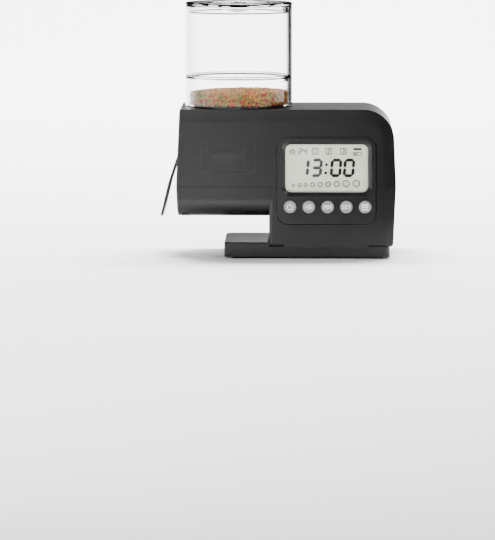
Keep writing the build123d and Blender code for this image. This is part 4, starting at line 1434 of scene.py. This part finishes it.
# ------------------------------------------------------------------ CAD nodes
NODE_PAINT: dict[Paint, tuple[str, ...]] = {
    Paint.CASING: ("upper_casing", "lower_casing", "battery_door", "outlet_flap"),
    Paint.BASE: ("mounting_base",),
    Paint.PANEL: ("control_panel",),
    Paint.FUNNEL: ("hopper_funnel",),
    Paint.FRAME: ("gearbox_frame", "gearbox_plate", "auger_tube"),
    Paint.BUTTON: ("button_power", "button_hour", "button_minute", "button_set", "button_menu"),
    Paint.TRAY: ("battery_tray",),
    Paint.COMPONENT: ("board_components", "tact_switches", "motor_end_cap"),
    Paint.GEAR: ("auger_gear", "compound_gear_1", "compound_gear_2"),
    Paint.SCREW: ("feed_auger",),
    Paint.CLEAR: ("food_container", "container_extension", "container_lid"),
    Paint.LENS: ("display_lens",),
    Paint.STEEL: (
        "casing_screws",
        "board_screws",
        "gearbox_screws",
        "gear_axles",
        "flap_pin",
        "motor_can",
        "motor_shaft",
    ),
    Paint.WIRE: ("battery_springs",),
    Paint.PLATE: ("battery_contacts",),
    Paint.BRASS: ("motor_pinion", "auger_bush"),
    Paint.RUBBER: ("base_mat",),
    Paint.LCD: ("lcd_module",),
    Paint.BOARD: ("control_board",),
    Paint.CELL: ("batteries",),
    Paint.BROWN_FOOD: ("food_bed",),
}


def dress_nodes(nodes: dict[str, bpy.types.Object]) -> None:
    """Gives every CAD node its finish.

    Args:
        nodes: CAD objects by name.

    Raises:
        KeyError: if a node has no finish, or a finish names a node that isn't there.
    """
    paints = {node: paint for paint, names in NODE_PAINT.items() for node in names}
    if set(paints) != set(nodes):
        raise KeyError(f"finish list and nodes differ: {sorted(set(paints) ^ set(nodes))}")
    for name, node in nodes.items():
        material = paints[name].material()
        if not node.data.materials:
            node.data.materials.append(material)
        for index in range(len(node.data.materials)):
            node.data.materials[index] = material
        LOG.info("%s: %s", name, material.name)


# ------------------------------------------------------------------ studio
@dataclass
class Studio:
    """Pale floor that curves up behind, soft lights, dark side cards and the camera.

    Attributes:
        lens_mm: focal length.
        eye: the camera's place.
        pitch_deg: how far it looks down.
        yaw_deg: how far it turns left.
        floor_hex: the floor's colour.
        card_hex: the dark cards' colour.
        sky_hex: the colour of the even light.
        sky_strength: its strength.
        bend_y: where the floor starts to curve up.
        bend_radius: the curve's radius.
        floor_reach: half the floor's width, and its depth and height.
    """

    lens_mm: float = 252.4
    eye: tuple[float, float, float] = (0.00535, -2.128, 0.2346)
    pitch_deg: float = 6.54
    yaw_deg: float = 1.05
    floor_hex: str = "#f6f6f5"
    card_hex: str = "#1a1b1b"
    sky_hex: str = "#f4f6f8"
    sky_strength: float = 0.18
    bend_y: float = 1.2
    bend_radius: float = 0.8
    floor_reach: float = 3.0

    def sweep(self) -> None:
        """Makes the floor: flat, then a quarter circle, then upright."""
        turn = np.linspace(0, np.pi / 2, 24)
        radius, bend, reach = self.bend_radius, self.bend_y, self.floor_reach
        y = np.concatenate([[-reach, bend], bend + radius * np.sin(turn[1:]), [bend + radius]])
        z = np.concatenate([[0.0, 0.0], radius * (1 - np.cos(turn[1:])), [reach]])
        x = np.array([-reach, reach])
        points = np.stack(
            [np.tile(x, (len(y), 1)), np.repeat(y[:, None], 2, 1), np.repeat(z[:, None], 2, 1)], -1
        ).reshape(-1, 3)
        self.card("studio_floor", points, grid_faces(len(y), 2, False), self.floor_hex)

    def card(self, name: str, points: Array, faces: NDArray[np.int64], colour: str) -> bpy.types.Object:
        """A matt sheet that isn't part of the object.

        Args:
            name: the object's name.
            points: its corners.
            faces: its quads.
            colour: hex colour.

        Returns:
            The sheet.
        """
        mesh = bpy.data.meshes.new(name)
        mesh.from_pydata(points.tolist(), [], faces.tolist())
        mesh.polygons.foreach_set("use_smooth", np.full(len(mesh.polygons), True))
        material, tree, out = new_material(f"painted board {colour}")
        shader = add_node(tree, "BsdfDiffuse", {"Color": linear(colour)})
        tree.links.new(shader.outputs["BSDF"], out.inputs["Surface"])
        mesh.materials.append(material)
        sheet = bpy.data.objects.new(name, mesh)
        bpy.context.collection.objects.link(sheet)
        return sheet

    def dark_card(
        self,
        name: str,
        start: Sequence[float],
        end: Sequence[float],
        rise: Sequence[float],
        through_clear: bool = False,
    ) -> None:
        """A dark card that the camera doesn't see and that casts no shadow. It darkens
        what the casing and the clear walls mirror.

        Args:
            name: the card's name.
            start: one corner.
            end: the next corner.
            rise: the way from that edge to the opposite one.
            through_clear: whether it shows through the clear walls.
        """
        edge, away = np.array([start, end]), np.array(rise)
        points = np.concatenate([edge, edge[::-1] + away])
        sheet = self.card(name, points, np.array([[0, 1, 2, 3]]), self.card_hex)
        sheet.visible_camera = False
        sheet.visible_shadow = False
        sheet.visible_diffuse = False
        sheet.visible_transmission = through_clear

    def light(
        self,
        name: str,
        place: tuple[float, float, float],
        target: tuple[float, float, float],
        size: tuple[float, float],
        watts: float,
    ) -> None:
        """Adds a soft rectangular light.

        Args:
            name: the lamp's name.
            place: where it hangs.
            target: the point it faces.
            size: width and height.
            watts: its power.
        """
        data = bpy.data.lights.new(name, "AREA")
        data.shape = "RECTANGLE"
        data.size, data.size_y = size
        data.energy = watts
        lamp = bpy.data.objects.new(name, data)
        lamp.location = place
        lamp.rotation_euler = (Vector(target) - Vector(place)).to_track_quat("-Z", "Y").to_euler()
        bpy.context.collection.objects.link(lamp)

    def sky(self) -> None:
        """Even pale light from all round."""
        world = bpy.data.worlds.new("studio_sky")
        world.use_nodes = True
        tree = world.node_tree
        tree.nodes.clear()
        glow = add_node(tree, "Background", {"Color": linear(self.sky_hex), "Strength": self.sky_strength})
        out = add_node(tree, "OutputWorld")
        tree.links.new(glow.outputs["Background"], out.inputs["Surface"])
        bpy.context.scene.world = world

    def camera(self) -> None:
        """A long lens in front, a little above the object."""
        data = bpy.data.cameras.new("camera")
        data.lens = self.lens_mm
        data.clip_end = 20.0
        eye = bpy.data.objects.new("camera", data)
        eye.location = self.eye
        eye.rotation_euler = Euler((math.radians(90 - self.pitch_deg), 0, math.radians(self.yaw_deg)))
        bpy.context.collection.objects.link(eye)
        bpy.context.scene.camera = eye

    def build(self) -> None:
        """Sets the whole studio up."""
        self.sweep()
        self.dark_card("card_right", (0.5, -1.6, 0.0), (0.5, 0.4, 0.0), (0.0, 0.0, 1.6))
        self.dark_card("card_back", (0.7, 0.4, 0.0), (0.19, 0.75, 0.0), (0.0, 0.0, 1.2), through_clear=True)
        self.dark_card("card_left", (-0.75, 1.1, 0.0), (-0.75, -0.1, 0.0), (0.0, 0.0, 1.3))
        self.dark_card("card_over", (0.7, 0.8, 0.13), (-0.7, 0.8, 0.13), (0.0, 0.0, 0.8))
        self.dark_card("card_low", (0.3, 0.2, 0.0), (-0.3, 0.2, 0.0), (0.0, 0.0, 0.029))
        self.dark_card("card_front", (0.5, -0.3, 0.0), (0.01, -0.45, 0.0), (0.0, 0.0, 0.35))
        self.dark_card("card_floor", (-0.02, -0.1, 0.001), (0.4, -0.1, 0.001), (0.0, -0.35, 0.0))
        self.light("top_light", (0.0, 0.3, 1.5), (0.0, 0.05, 0.05), (1.8, 1.2), 5.0)
        self.light("key_light", (-0.33, -0.72, 0.36), (-0.03, -0.03, 0.07), (0.42, 0.42), 3.6)
        self.light("backdrop_light", (0.0, 0.7, 2.2), (0.0, 2.0, 0.5), (2.6, 0.8), 380.0)
        self.light("fill_light", (0.45, -0.35, 0.45), (0.02, -0.03, 0.05), (0.3, 0.3), 1.8)
        self.sky()
        self.camera()


def main() -> None:
    """Builds the feeder's look round its frame, piece by piece."""
    logging.basicConfig(level=logging.INFO, format="%(name)s %(message)s")
    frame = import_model()
    dress_nodes(frame["nodes"])
    builders = (PelletHeap(), Display(), ButtonMarks(), FrontBadge(), LidGrip(), CellBands(), Studio())
    for builder in builders:
        LOG.info("building %s", type(builder).__name__)
        builder.build()


if __name__ == "__main__":
    main()
